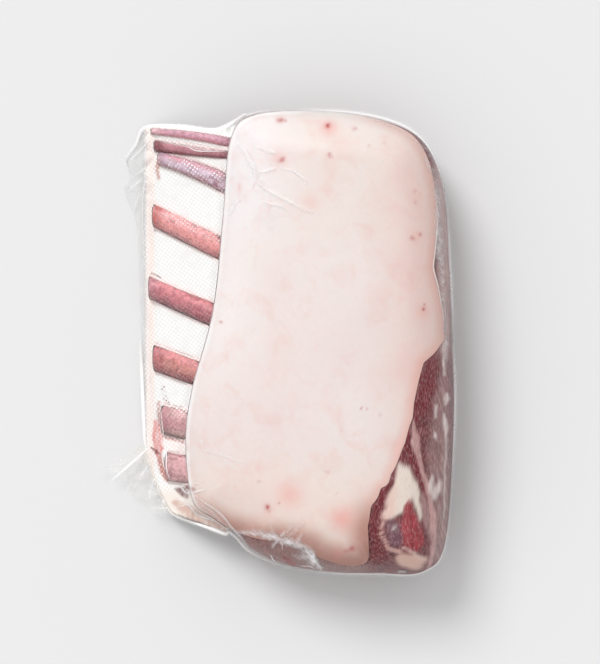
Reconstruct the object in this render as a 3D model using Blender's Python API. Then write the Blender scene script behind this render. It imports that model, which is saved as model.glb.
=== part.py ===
"""A raw frenched rack of lamb, shrunk tight in a clear vacuum bag and lying fat side up.

Plan directions: +X runs from the bare rib ends to the chine side, +Y runs from the cut face to
the far end, and +Z is up. The origin is under the middle of the pack, on the surface it lies on.
The rack arches from its rib tips to the chine, and every piece is shaped over that arch.
"""

import math

import bmesh
import bpy
import numpy as np

MM = 0.001

# Heights over the surface that the pack lies on
LOIN_HEIGHT = 52.0 * MM
CROWN_AT = 40.0 * MM
SIDE_FALL = 22.0 * MM
SIDE_REACH = 77.0 * MM
END_FALL = 4.0 * MM
HALF_LENGTH = 95.0 * MM
ARCH_HEIGHT = 16.0 * MM
ARCH_LEFT_FOOT = -56.0 * MM
ARCH_RIGHT_FOOT = 16.0 * MM

# Film, fat and the clearance that touching pieces keep
FILM_THICKNESS = 0.8 * MM
REST_GAP = 0.8 * MM
FIT_GAP = 0.3 * MM
UNDER_FAT_GAP = 0.5 * MM
FAT_ON_FLAP = 7.0 * MM
FAT_ON_LOIN = 3.4 * MM
FAT_STANDS_PROUD = 0.8 * MM
FAT_RIM = 1.4 * MM
FAT_TAPER = 8.0 * MM

# The meat's outline seen from above, in millimetres, anticlockwise from the chine side
PLAN_CENTRE = (8.0, 2.0)
RACK_OUTLINE = (
    (72.2, 1.0), (70.9, 34.0), (68.9, 62.0), (61.0, 82.0), (44.7, 91.4), (18.0, 94.9),
    (-9.0, 93.0), (-18.4, 82.7), (-21.4, 52.0), (-25.5, 13.3), (-34.4, -20.0), (-36.9, -42.0),
    (-34.0, -65.0), (-14.5, -79.0), (8.0, -91.0), (42.0, -94.6), (62.5, -94.0), (69.8, -81.0),
    (72.9, -31.6),
)

# How far short of that outline the fat cap stops: bearing in degrees from +X, millimetres
FAT_STOPS_SHORT = (
    (-130, 0.0), (-114, 2.0), (-102, 6.0), (-92, 9.5), (-84, 4.2), (-77, 2.3), (-72, 6.5),
    (-66, 28.0), (-60, 39.0), (-48, 31.0), (-36, 22.0), (-24, 17.0), (0, 5.4), (12, 4.6),
    (42, 4.6), (60, 2.0), (84, 0.4), (100, 0.0),
)

# The bag: its margin round the meat, and the flange's outline past the rib tips
BAG_MARGIN = 1.4 * MM
FLANGE_OUTLINE = (
    (-12.2, 94.2), (-24.3, 87.7), (-39.6, 89.5), (-54.1, 89.4), (-58.2, 82.3), (-62.4, 75.7),
    (-60.6, 69.1), (-63.0, 63.0), (-58.2, 48.8), (-56.8, 25.4), (-56.1, -5.2), (-54.9, -33.6),
    (-54.1, -43.8), (-50.5, -57.0), (-45.0, -68.5), (-41.0, -72.0), (-30.4, -76.0), (-19.0, -80.4),
)

# How far the edge of the loaf takes to round over, by compass bearing in degrees from +X
EDGE_BEARINGS = (-150, -110, -60, -15, 45, 80, 120, 180)
EDGE_ROUNDING = tuple(r * MM for r in (15, 26, 24, 22, 22, 20, 14, 12))
RIM_SHARE = (0.50, 0.40, 0.40, 0.50, 0.45, 0.40, 0.46, 0.50)
UNDER_ROUNDING = 8.0 * MM
LEAN_INSET = tuple(r * MM for r in (1.2, 0.5, 0.0, 0.0, 0.0, 1.0, 1.6, 1.6))

# Ribs from the far end to the cut face: root and tip in plan, half widths there, sideways bow
RIBS = (
    ((-12.0, 79.8), (-51.5, 86.6), 1.9, 1.1, 2.0),
    ((-12.0, 75.9), (-48.7, 80.8), 1.5, 2.5, -0.3),
    ((-12.0, 60.5), (-47.0, 74.7), 4.8, 2.7, 1.5),
    ((-13.0, 34.8), (-51.3, 50.8), 4.9, 4.4, 0.8),
    ((-18.0, 7.3), (-52.2, 23.3), 4.9, 4.9, 0.1),
    ((-24.0, -15.6), (-49.7, -6.2), 5.4, 5.4, -0.3),
    ((-29.0, -35.3), (-46.4, -31.9), 6.0, 6.0, 0.0),
    ((-29.0, -52.8), (-44.5, -51.5), 6.0, 5.9, 0.0),
)
RIB_THICKNESS = 6.6 * MM
THIN_RIB_THICKNESS = 5.0 * MM
THIN_RIBS = 2
RIB_SIDES = 12
RIB_STATIONS = 7
TIP_CHAMFER = 0.8 * MM

# The crumpled corner of the bag, past the rib tips: its four corners in plan, and its folds
TAIL_ROOT = ((-52.0, -42.0), (-42.5, -69.0))
TAIL_TIP = ((-74.5, -53.6), (-45.5, -74.4))
TAIL_LIFT = 0.25 * MM
TAIL_RISE = 5.5 * MM
TAIL_FOLD = 1.5 * MM
TAIL_CELLS = (10, 7)

RACK_CELLS = 20
FAT_CELLS = 30
BAG_CELLS = 24
OUTLINE_SAMPLES = 720
SAMPLES = np.linspace(-math.pi, math.pi, OUTLINE_SAMPLES, endpoint=False)


def smooth_step(low, high, value):
    """0 below low and 1 above high, with a smooth slope between."""
    share = np.clip((value - low) / (high - low), 0.0, 1.0)
    return share * share * (3.0 - 2.0 * share)


def by_bearing(bearing, values):
    """A value that eases round the compass from one of EDGE_BEARINGS to the next."""
    knots = np.append(EDGE_BEARINGS, EDGE_BEARINGS[0] + 360.0)
    values = np.append(values, values[0])
    degrees = (np.degrees(bearing) - knots[0]) % 360.0 + knots[0]
    slot = np.searchsorted(knots, degrees, side="right") - 1
    share = smooth_step(knots[slot], knots[slot + 1], degrees)
    return values[slot] + (values[slot + 1] - values[slot]) * share


def bearings_and_reach(x, y):
    """Plan points as bearings from PLAN_CENTRE and distances from it."""
    x, y = x - PLAN_CENTRE[0] * MM, y - PLAN_CENTRE[1] * MM
    return np.arctan2(y, x), np.hypot(x, y)


def curve_through(points, closed):
    """A smooth curve through plan points: a Catmull-Rom spline, 16 steps between each two."""
    knots = np.array(points) * MM
    if closed:
        knots = np.concatenate([knots[-1:], knots, knots[:2]])
    else:
        knots = np.concatenate([knots[:1], knots, knots[-1:]])
    t = np.linspace(0.0, 1.0, 16, endpoint=False)[:, None, None]
    p0, p1, p2, p3 = knots[:-3], knots[1:-2], knots[2:-1], knots[3:]
    bend = (2 * p0 - 5 * p1 + 4 * p2 - p3) * t**2 + (3 * (p1 - p2) + p3 - p0) * t**3
    curve = p1 + 0.5 * ((p2 - p0) * t + bend)
    return curve[..., 0].ravel(order="F"), curve[..., 1].ravel(order="F")


def rack_reach(samples):
    """The meat outline's distance from PLAN_CENTRE at these bearings."""
    bearings, reach = bearings_and_reach(*curve_through(RACK_OUTLINE, True))
    return np.interp(samples, bearings, reach, period=2 * math.pi)


def fat_reach(samples):
    """The fat cap's: the meat's, less what it stops short."""
    bearings, short = np.array(FAT_STOPS_SHORT).T
    return rack_reach(samples) - np.interp(np.degrees(samples), bearings, short * MM)


def bag_reach(samples):
    """The bag's: a margin round the meat, or the flange where that stands out further."""
    bearings, reach = bearings_and_reach(*curve_through(FLANGE_OUTLINE, False))
    bearings = bearings % (2 * math.pi)
    flange = np.interp(samples % (2 * math.pi), bearings, reach, left=0.0, right=0.0)
    return np.maximum(rack_reach(samples) + BAG_MARGIN, flange)


def plan_patch(radii, cells):
    """A square grid of points stretched over the outline, finer towards its rim."""
    side = np.linspace(-1.0, 1.0, cells + 1)
    across, along = np.meshgrid(side, side)
    disc_x = across * np.sqrt(1.0 - along**2 / 2.0)
    disc_y = along * np.sqrt(1.0 - across**2 / 2.0)
    reach = 1.0 - (1.0 - np.clip(np.hypot(disc_x, disc_y), 0.0, 1.0)) ** 1.5
    bearing = np.arctan2(disc_y, disc_x)
    radius = reach * np.interp(bearing, SAMPLES, radii, period=2 * math.pi)
    x = PLAN_CENTRE[0] * MM + radius * np.cos(bearing)
    y = PLAN_CENTRE[1] * MM + radius * np.sin(bearing)
    return x, y


def distance_to_rim(x, y, radii):
    """Distance from each plan point to the nearest side of the outline."""
    rim_x = PLAN_CENTRE[0] * MM + radii * np.cos(SAMPLES)
    rim_y = PLAN_CENTRE[1] * MM + radii * np.sin(SAMPLES)
    nearest = np.full(x.shape, np.inf)
    for ax, ay, bx, by in zip(rim_x, rim_y, np.roll(rim_x, -1), np.roll(rim_y, -1)):
        run_x, run_y = bx - ax, by - ay
        share = ((x - ax) * run_x + (y - ay) * run_y) / (run_x**2 + run_y**2)
        share = np.clip(share, 0.0, 1.0)
        off = np.hypot(x - ax - share * run_x, y - ay - share * run_y)
        nearest = np.minimum(nearest, off)
    return nearest


def arch(x):
    """Height of the hollow under the ribs: one raised cosine from the rib tips to the chine."""
    share = np.clip((x - ARCH_LEFT_FOOT) / (ARCH_RIGHT_FOOT - ARCH_LEFT_FOOT), 0.0, 1.0)
    return ARCH_HEIGHT * (0.5 - 0.5 * np.cos(2 * math.pi * share))


def arch_slope(x):
    """How fast arch() rises along X."""
    span = ARCH_RIGHT_FOOT - ARCH_LEFT_FOOT
    share = np.clip((x - ARCH_LEFT_FOOT) / span, 0.0, 1.0)
    return ARCH_HEIGHT * math.pi / span * np.sin(2 * math.pi * share)


def underside(x):
    """The lowest that meat and bone reach, resting on the film."""
    return arch(x) + FILM_THICKNESS + REST_GAP


def crown(x, y):
    """The height of the rack away from its edges: a low dome, highest over the loin."""
    side_fall = SIDE_FALL * ((x - CROWN_AT) / SIDE_REACH) ** 2
    return LOIN_HEIGHT - side_fall - END_FALL * (y / HALF_LENGTH) ** 2


def rounded(distance, radius):
    """A round shoulder: 0 at the rim, 1 once the distance reaches the radius."""
    short = 1.0 - np.clip(distance / radius, 0.0, 1.0)
    return (1.0 - short**2.2) ** (1.0 / 2.2)


def loaf_heights(x, y, radii):
    """(top, bottom) of a loaf with this outline; both meet at its rim."""
    distance = distance_to_rim(x, y, radii)
    bearing, _ = bearings_and_reach(x, y)
    low, high = underside(x), crown(x, y)
    rim = low + (high - low) * by_bearing(bearing, RIM_SHARE)
    top = rim + (high - rim) * rounded(distance, by_bearing(bearing, EDGE_ROUNDING))
    bottom = rim - (rim - low) * rounded(distance, UNDER_ROUNDING)
    return top, bottom


def grid_solid(name, upper, lower, material):
    """A closed solid between two grids of points; rim points that coincide are made one."""
    rows, columns = upper.shape[:2]
    count = rows * columns
    index = np.arange(count).reshape(rows, columns)
    quads = np.stack([index[:-1, :-1], index[:-1, 1:], index[1:, 1:], index[1:, :-1]], -1)
    quads = quads.reshape(-1, 4)
    rim = np.concatenate([index[0, :-1], index[:-1, -1], index[-1, :0:-1], index[:0:-1, 0]])
    following = np.roll(rim, -1)
    walls = np.stack([rim, rim + count, following + count, following], -1)
    faces = np.concatenate([quads, quads[:, ::-1] + count, walls])
    points = np.concatenate([upper.reshape(-1, 3), lower.reshape(-1, 3)])
    mesh = bpy.data.meshes.new(name)
    mesh.from_pydata(points.tolist(), [], faces.tolist())
    shell = bmesh.new()
    shell.from_mesh(mesh)
    bmesh.ops.remove_doubles(shell, verts=shell.verts, dist=0.00001)
    bmesh.ops.dissolve_degenerate(shell, edges=shell.edges, dist=0.00001)
    bmesh.ops.recalc_face_normals(shell, faces=shell.faces)
    bmesh.ops.triangulate(shell, faces=shell.faces)
    shell.to_mesh(mesh)
    shell.free()
    return finished(name, mesh, material)


def finished(name, mesh, material):
    """Puts a mesh in the scene as one smooth-shaded piece under the rack's empty."""
    mesh.materials.append(material)
    mesh.shade_smooth()
    mesh.set_sharp_from_angle(angle=math.radians(40))
    piece = bpy.data.objects.new(name, mesh)
    bpy.context.scene.collection.objects.link(piece)
    piece.parent = bpy.data.objects["rack_of_lamb"]
    return piece


def as_cutter(piece):
    """Keeps a helper shape out of the model."""
    piece.hide_render = True
    piece.display_type = "WIRE"
    return piece


def cut_away(piece, cutter):
    """Takes the cutter's space out of the piece."""
    cut = piece.modifiers.new("cut", "BOOLEAN")
    cut.operation = "DIFFERENCE"
    cut.object = cutter
    cut.solver = "EXACT"


def finish(name, colour, roughness):
    """A plain material: colour, roughness and no metal."""
    material = bpy.data.materials.new(name)
    material.use_nodes = True
    surface = material.node_tree.nodes["Principled BSDF"]
    surface.inputs["Base Color"].default_value = (*colour, 1.0)
    surface.inputs["Roughness"].default_value = roughness
    surface.inputs["Metallic"].default_value = 0.0
    return material


def loaf_of_lean(name, grow, material):
    """The lean as a closed loaf, drawn in where fat wraps over it and grown by a clearance."""
    radii = rack_reach(SAMPLES) - by_bearing(SAMPLES, LEAN_INSET) + grow
    x, y = plan_patch(radii, RACK_CELLS)
    top, bottom = loaf_heights(x, y, radii)
    inside = top - bottom > MM
    raised = grow if grow > 0.0 else -FAT_STANDS_PROUD
    upper = np.stack([x, y, top + np.where(inside, raised, 0.0)], -1)
    lower = np.stack([x, y, bottom - np.where(inside, grow, 0.0)], -1)
    return grid_solid(name, upper, lower, material)


def fat_sheets():
    """(outer, inner) faces of the fat cap: the loaf's top, and the same let down by the fat."""
    radii = fat_reach(SAMPLES)
    x, y = plan_patch(radii, FAT_CELLS)
    top, _ = loaf_heights(x, y, rack_reach(SAMPLES))
    distance = distance_to_rim(x, y, radii)
    thick = FAT_ON_FLAP + (FAT_ON_LOIN - FAT_ON_FLAP) * smooth_step(-5 * MM, 50 * MM, x)
    thick = FAT_RIM + (thick - FAT_RIM) * smooth_step(0.0, FAT_TAPER, distance)
    return np.stack([x, y, top], -1), np.stack([x, y, top - thick], -1)


def fat_pocket(material):
    """The space that the fat cap takes out of the lean: under it, round it and open upwards."""
    _, floor = fat_sheets()
    floor[..., 2] -= UNDER_FAT_GAP
    bearing, _ = bearings_and_reach(floor[..., 0], floor[..., 1])
    outwards = np.full_like(bearing, FIT_GAP)
    outwards[1:-1, 1:-1] = 0.0
    floor[..., 0] += outwards * np.cos(bearing)
    floor[..., 1] += outwards * np.sin(bearing)
    lid = floor.copy()
    lid[..., 2] = LOIN_HEIGHT + FAT_ON_FLAP
    return grid_solid("fat_pocket", lid, floor, material)


def rib(number, root, tip, root_half, tip_half, bow, cutter, material):
    """One bare rib: a flattened rod lying on the film, sawn square at its tip."""
    root, tip = np.array(root) * MM, np.array(tip) * MM
    run = tip - root
    sideways = np.array([run[1], -run[0]]) / np.linalg.norm(run)
    thick = THIN_RIB_THICKNESS if number <= THIN_RIBS else RIB_THICKNESS
    share = np.linspace(0.0, 1.0, RIB_STATIONS)
    length = np.linalg.norm(run)
    share = np.append(share[:-1], [1.0 - TIP_CHAMFER / length, 1.0])
    width = (root_half + (tip_half - root_half) * share) * MM
    shrink = np.ones_like(share)
    shrink[-1] = 1.0 - TIP_CHAMFER / (tip_half * MM)
    plan = root + share[:, None] * run
    plan += sideways * (bow * MM * 4 * share * (1 - share))[:, None]
    turns = np.linspace(0.0, 2 * math.pi, RIB_SIDES, endpoint=False)
    slope = arch_slope(plan[:, 0])
    up = np.stack([-slope, 0 * slope, np.ones_like(slope)], -1)
    up /= np.linalg.norm(up, axis=-1, keepdims=True)
    ahead = np.array([run[0], run[1], 0.0]) / length
    across = np.cross(ahead, up)
    across /= np.linalg.norm(across, axis=-1, keepdims=True)
    middle = np.stack([plan[:, 0], plan[:, 1], underside(plan[:, 0])], -1) + up * thick / 2
    rings = (
        middle[:, None]
        + across[:, None] * (width * shrink)[:, None, None] * np.cos(turns)[None, :, None]
        + up[:, None] * (thick / 2 * shrink)[:, None, None] * np.sin(turns)[None, :, None]
    )
    return ring_solid(f"rib_{number}", rings, cutter, material)


def ring_solid(name, rings, cutter, material):
    """Joins rings of points into a capped rod, and cuts its buried end off against the meat."""
    rod = bmesh.new()
    loops = [[rod.verts.new(point) for point in ring] for ring in rings]
    for near, far in zip(loops, loops[1:]):
        for side in range(len(near)):
            after = (side + 1) % len(near)
            rod.faces.new((near[side], near[after], far[after], far[side]))
    rod.faces.new(loops[0])
    rod.faces.new(loops[-1])
    bmesh.ops.recalc_face_normals(rod, faces=rod.faces)
    bmesh.ops.triangulate(rod, faces=rod.faces)
    mesh = bpy.data.meshes.new(name)
    rod.to_mesh(mesh)
    rod.free()
    piece = finished(name, mesh, material)
    cut_away(piece, cutter)
    return piece


def bag_sheet(material):
    """The film under the rack, out to its margins, following the arch."""
    x, y = plan_patch(bag_reach(SAMPLES), BAG_CELLS)
    low = arch(x)
    upper = np.stack([x, y, low + FILM_THICKNESS], -1)
    lower = np.stack([x, y, low], -1)
    return grid_solid("vacuum_bag", upper, lower, material)


def bag_tail(material):
    """The bag's crumpled corner: a folded sheet between its root and its ragged tip."""
    along, across = np.meshgrid(
        np.linspace(0.0, 1.0, TAIL_CELLS[0] + 1), np.linspace(0.0, 1.0, TAIL_CELLS[1] + 1)
    )
    near, far = np.array(TAIL_ROOT) * MM, np.array(TAIL_TIP) * MM
    start = near[0] + across[..., None] * (near[1] - near[0])
    end = far[0] + across[..., None] * (far[1] - far[0])
    ragged = 1.0 - 0.10 * np.sin(7.0 * across) ** 2
    plan = start + (along * ragged)[..., None] * (end - start)
    rise = TAIL_RISE * np.sin(math.pi * along**0.8) * (1.0 - 0.5 * across)
    folds = TAIL_FOLD * (1.0 + np.sin(9.0 * across + 4.0 * along)) * smooth_step(0.1, 0.5, along)
    z = arch(plan[..., 0]) + TAIL_LIFT + rise + folds
    upper = np.stack([plan[..., 0], plan[..., 1], z + FILM_THICKNESS], -1)
    lower = np.stack([plan[..., 0], plan[..., 1], z], -1)
    return grid_solid("bag_tail", upper, lower, material)


def build():
    """Clears the scene and makes each piece of the packed rack."""
    for leftover in list(bpy.data.objects):
        bpy.data.objects.remove(leftover)
    base = bpy.data.objects.new("rack_of_lamb", None)
    bpy.context.scene.collection.objects.link(base)

    lean_red = finish("raw_lean", (0.27, 0.075, 0.08), 0.35)
    fat_white = finish("raw_fat", (0.86, 0.74, 0.70), 0.40)
    bone_pink = finish("raw_rib", (0.72, 0.40, 0.42), 0.35)
    clear_film = finish("bag_film", (0.86, 0.87, 0.84), 0.20)

    lean = loaf_of_lean("lean", 0.0, lean_red)
    fat = grid_solid("fat_cap", *fat_sheets(), fat_white)
    cut_away(lean, as_cutter(fat_pocket(fat_white)))

    flank = as_cutter(loaf_of_lean("flank", FIT_GAP, lean_red))
    for number, (root, tip, root_half, tip_half, bow) in enumerate(RIBS, start=1):
        rib(number, root, tip, root_half, tip_half, bow, flank, bone_pink)

    bag = bag_sheet(clear_film)
    tail = as_cutter(bag_tail(clear_film))
    join = bag.modifiers.new("tail", "BOOLEAN")
    join.operation = "UNION"
    join.object = tail
    join.solver = "EXACT"
    return fat, bag


build()
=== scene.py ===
"""A raw frenched rack of lamb, fat side up, shrunk tight in a clear vacuum bag.

+X runs from the bare rib ends to the chine side, +Y from the cut face to the far end, +Z up.
Lengths are metres; a number that stands before * MM, or in a table of plan points, is millimetres.
"""

import math

import bpy
import numpy as np
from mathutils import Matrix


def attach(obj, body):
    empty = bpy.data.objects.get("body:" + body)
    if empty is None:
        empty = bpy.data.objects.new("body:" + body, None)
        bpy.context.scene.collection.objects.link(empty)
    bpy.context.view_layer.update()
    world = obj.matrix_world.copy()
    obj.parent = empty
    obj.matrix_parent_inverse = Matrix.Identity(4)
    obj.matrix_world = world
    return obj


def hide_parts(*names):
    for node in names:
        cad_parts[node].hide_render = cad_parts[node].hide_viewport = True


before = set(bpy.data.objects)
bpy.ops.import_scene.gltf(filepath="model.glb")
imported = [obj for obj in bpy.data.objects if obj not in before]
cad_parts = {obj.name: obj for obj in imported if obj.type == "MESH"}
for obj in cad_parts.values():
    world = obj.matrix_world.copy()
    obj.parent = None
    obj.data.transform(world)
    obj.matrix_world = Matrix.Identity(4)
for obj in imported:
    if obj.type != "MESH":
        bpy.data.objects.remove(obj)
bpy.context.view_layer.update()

# The lean: the eye of loin and the thin flap that lies over the ribs, one piece of raw lamb.
# It is bare where the fat cap was trimmed back, and shows muscles, seams, silver skin and a lump of fat
# there. The cut face at the near end is browner. A darker strip down the chine side is painted shade, and
# one small white streak is a painted glint.
MM = 0.001
LOIN_HEIGHT = 52.0 * MM
CROWN_AT = 40.0 * MM
SIDE_FALL = 22.0 * MM
SIDE_REACH = 77.0 * MM
END_FALL = 4.0 * MM
HALF_LENGTH = 95.0 * MM
ARCH_HEIGHT = 16.0 * MM
ARCH_LEFT_FOOT = -56.0 * MM
ARCH_RIGHT_FOOT = 16.0 * MM
UNDERSIDE_GAP = 1.6 * MM
LEAN_BELOW_FAT = 0.8 * MM
FAT_ON_FLAP = 7.0 * MM
FAT_ON_LOIN = 3.4 * MM
FAT_RIM = 1.4 * MM
FAT_TAPER = 8.0 * MM
PLAN_CENTRE = (8.0, 2.0)
RACK_OUTLINE = (
    (72.2, 1.0), (70.9, 34.0), (68.9, 62.0), (61.0, 82.0), (44.7, 91.4), (18.0, 94.9),
    (-9.0, 93.0), (-18.4, 82.7), (-21.4, 52.0), (-25.5, 13.3), (-34.4, -20.0), (-36.9, -42.0),
    (-34.0, -65.0), (-25.0, -72.2), (-16.0, -78.6), (-11.0, -84.2), (-2.0, -89.1), (8.0, -92.4),
    (24.0, -94.4), (42.0, -94.7), (60.5, -94.0), (69.8, -81.0), (72.9, -31.6),
)
FAT_STOPS_SHORT = (
    (-130, 0.0), (-110, 0.0), (-106, 1.6), (-103, 5.0), (-99, 7.2), (-94.5, 10.0), (-90, 11.0),
    (-86.5, 10.0), (-84.6, 7.4), (-82, 6.0), (-78.6, 4.6), (-75.7, 4.0), (-73, 5.2), (-71.5, 7.6),
    (-70.6, 13.0), (-69, 22.0), (-65.7, 32.4), (-60.3, 40.0), (-55, 39.0), (-50, 33.4),
    (-43.7, 27.2), (-34, 20.8), (-29, 19.5), (-19, 16.1), (-11, 13.2), (-6.4, 8.3), (-0.8, 3.9),
    (8, 3.9), (14.5, 4.8), (21, 6.2), (27, 7.6), (31.5, 7.1), (37.6, 5.7), (45.5, 5.2), (60, 2.0),
    (84, 0.4), (100, 0.0),
)
EDGE_BEARINGS = (-150, -110, -60, -15, 45, 80, 120, 180)
EDGE_ROUNDING = (15, 26, 24, 22, 22, 20, 14, 12)
RIM_SHARE = (0.50, 0.40, 0.40, 0.50, 0.45, 0.40, 0.46, 0.50)
LEAN_INSET = (1.2, 0.5, 0.0, 0.0, 0.0, 1.0, 1.6, 1.6)
UNDER_ROUNDING = 8.0 * MM
BEARINGS = np.linspace(-math.pi, math.pi, 480, endpoint=False)

# What shows on the bare lean, as strokes of (x, y, half width) in millimetres
GREY_SIDE = ((68, 0, 1.5), (67, -25, 3.2), (66, -45, 4.4), (67, -65, 4.6), (67.5, -86, 4.0))
DARK_TOP = ((67.0, -2.6, 0.7), (64.0, -10.3, 3.0), (61.4, -18.7, 3.7), (58.9, -25.7, 3.0),
            (57.2, -31.3, 1.3))
PALE_SEAM = ((55.6, -32, 0.4), (56.8, -39.7, 1.8), (58, -47.4, 0.9), (60.3, -54.4, 0.8),
             (62.4, -62.2, 1.0), (64.2, -73.4, 1.4), (64.2, -86, 1.0), (62.1, -93, 0.6))
DEEP_MUSCLE = ((53.8, -36.9, 0.4), (52.9, -43.9, 2.8), (57.5, -50.9, 1.8), (60, -59.4, 1.0),
               (61.4, -65, 0.6))
GREY_BAND = ((59.3, -61.5, 1.0), (61.4, -70.6, 2.1), (63.5, -77.6, 1.6))
FAT_LUMP = ((49.8, -49.2, 0.8), (52.2, -53, 3.2), (52.2, -59.4, 4.8), (49.1, -65, 4.4),
            (45.6, -69.5, 2.1))
LUMP_TAIL = ((55.8, -57.9, 2.1), (57.5, -65, 1.1), (58.6, -71.3, 0.6))
RED_MUSCLE = ((54.2, -65.3, 1.6), (54, -69.2, 2.1), (54.4, -74.1, 3.7), (55.8, -79.7, 4.4),
              (55.1, -82.1, 3.5))
GREY_MUSCLE = ((46.3, -72.7, 1.8), (48, -76.2, 3.2), (48.7, -80, 2.8))
LEFT_MUSCLE = ((46.3, -54.4, 0.6), (42.4, -63.6, 2.3), (40.5, -70.6, 2.5), (40.5, -79, 3.0),
               (41.4, -86.7, 3.4))
LEFT_LINE = ((43.5, -70.2, 0.7), (43.1, -77.6, 0.6), (45.6, -83.2, 0.8), (50.1, -84.6, 1.0))
CREAM_POCKET = ((51.5, -88.1, 2.7), (57.2, -89.1, 3.2), (60.3, -88.4, 1.4))
GRISTLE = ((51.2, -82.8, 0.4), (55.8, -84.9, 0.6), (59.6, -88.1, 0.6))
# Painted shade: a darker strip down the chine side, where it turns down away from the lamp
CHINE_SIDE_SHADE = ((70.5, 66, 0.6), (71.4, 30, 0.9), (71.6, -2, 0.8), (71.9, -37, 0.8), (71.2, -68, 0.8))
RED_AT_CUT = (((-10.9, -85.6, 0.5), (-6, -87.5, 0.9), (-1.6, -89, 0.6)),
              ((3.8, -87.5, 0.6), (5.7, -90, 1.0), (7.7, -91, 0.6)))
CUT_EDGE = ((-11.4, -85.6, 0.4), (-0.6, -90.4, 0.5), (9.2, -93.8, 0.5), (26.4, -94.9, 0.5),
            (45, -94.5, 0.4))
# White streaks on the bare lean; the last, on the grey muscle, is a painted glint
WHITE_STREAKS_AND_GLINT = (
    ((68.9, -0.2, 0.6), (68.5, -6.8, 0.8), (68.9, -13.3, 0.6)),
    ((69.2, -20.8, 0.7), (69.3, -22.9, 1.3), (69.2, -25, 0.6)),
    ((68.5, -29.2, 0.6), (68.8, -32.7, 1.0), (69.2, -36.9, 0.6)),
    ((69.2, -36.9, 0.3), (68.9, -50.9, 0.2), (68.9, -65, 0.3), (68.6, -72, 0.2)),
    ((64.4, -36.8, 0.8), (64.6, -38, 1.0)),
    ((63.5, -54.4, 0.7), (63.1, -57.9, 1.4), (63.5, -60.8, 0.8)),
    ((67, -56.5, 0.6), (65.7, -60.1, 1.4), (64.5, -62.9, 1.0)),
    ((65, -25.7, 0.8), (64.7, -29.9, 0.5)),
    ((48, -74.5, 0.7), (48.3, -75.3, 0.7)),
)


def smooth_step(low, high, value):
    """0 below low and 1 above high, with a smooth slope between."""
    share = np.clip((value - low) / (high - low), 0.0, 1.0)
    return share * share * (3.0 - 2.0 * share)


def cloud(x, y, pitch, seed):
    """A soft random field from -1 to 1: hashed values at lattice corners, eased between them."""
    u, v = x / pitch, y / pitch
    i, j = np.floor(u), np.floor(v)
    f, g = u - i, v - j
    f, g = f * f * (3.0 - 2.0 * f), g * g * (3.0 - 2.0 * g)

    def corner(a, b):
        swirl = np.sin((i + a) * 127.1 + (j + b) * 311.7 + seed * 74.7) * 43758.5453
        return 2.0 * (swirl - np.floor(swirl)) - 1.0

    near = corner(0, 0) + (corner(1, 0) - corner(0, 0)) * f
    far = corner(0, 1) + (corner(1, 1) - corner(0, 1)) * f
    return near + (far - near) * g


def bearings_and_reach(x, y):
    """Plan points as bearings from PLAN_CENTRE and distances from it."""
    x, y = x - PLAN_CENTRE[0] * MM, y - PLAN_CENTRE[1] * MM
    return np.arctan2(y, x), np.hypot(x, y)


def curve_through(points, closed):
    """A smooth curve through plan points: a Catmull-Rom spline, 16 steps between each two."""
    knots = np.array(points) * MM
    if closed:
        knots = np.concatenate([knots[-1:], knots, knots[:2]])
    else:
        knots = np.concatenate([knots[:1], knots, knots[-1:]])
    t = np.linspace(0.0, 1.0, 16, endpoint=False)[:, None, None]
    p0, p1, p2, p3 = knots[:-3], knots[1:-2], knots[2:-1], knots[3:]
    bend = (2 * p0 - 5 * p1 + 4 * p2 - p3) * t**2 + (3 * (p1 - p2) + p3 - p0) * t**3
    curve = p1 + 0.5 * ((p2 - p0) * t + bend)
    return curve[..., 0].ravel(order="F"), curve[..., 1].ravel(order="F")


def rack_reach(bearing):
    """The meat outline's distance from PLAN_CENTRE at these bearings."""
    knots, reach = bearings_and_reach(*curve_through(RACK_OUTLINE, True))
    return np.interp(bearing, knots, reach, period=2 * math.pi)


def fat_reach(bearing):
    """The fat cap's: the meat's, less what it stops short."""
    knots, short = np.array(FAT_STOPS_SHORT).T
    return rack_reach(bearing) - np.interp(np.degrees(bearing), knots, short * MM)


def by_bearing(bearing, values):
    """A value that eases round the compass from one of EDGE_BEARINGS to the next."""
    knots = np.append(EDGE_BEARINGS, EDGE_BEARINGS[0] + 360.0)
    values = np.append(values, values[0])
    degrees = (np.degrees(bearing) - knots[0]) % 360.0 + knots[0]
    slot = np.searchsorted(knots, degrees, side="right") - 1
    share = smooth_step(knots[slot], knots[slot + 1], degrees)
    return values[slot] + (values[slot + 1] - values[slot]) * share


def plan_patch(radii, cells, crowd_x=0.0, crowd_y=0.0):
    """A square grid of points stretched over an outline, finer towards its rim.

    The crowd values, up to 0.4, draw its lines together towards +X and +Y."""
    side = np.linspace(-1.0, 1.0, cells + 1)
    across, along = np.meshgrid(side + crowd_x * (1 - side**2), side + crowd_y * (1 - side**2))
    disc_x = across * np.sqrt(1.0 - along**2 / 2.0)
    disc_y = along * np.sqrt(1.0 - across**2 / 2.0)
    reach = 1.0 - (1.0 - np.clip(np.hypot(disc_x, disc_y), 0.0, 1.0)) ** 1.5
    bearing = np.arctan2(disc_y, disc_x)
    radius = reach * np.interp(bearing, BEARINGS, radii, period=2 * math.pi)
    x = PLAN_CENTRE[0] * MM + radius * np.cos(bearing)
    y = PLAN_CENTRE[1] * MM + radius * np.sin(bearing)
    return x, y


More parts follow.
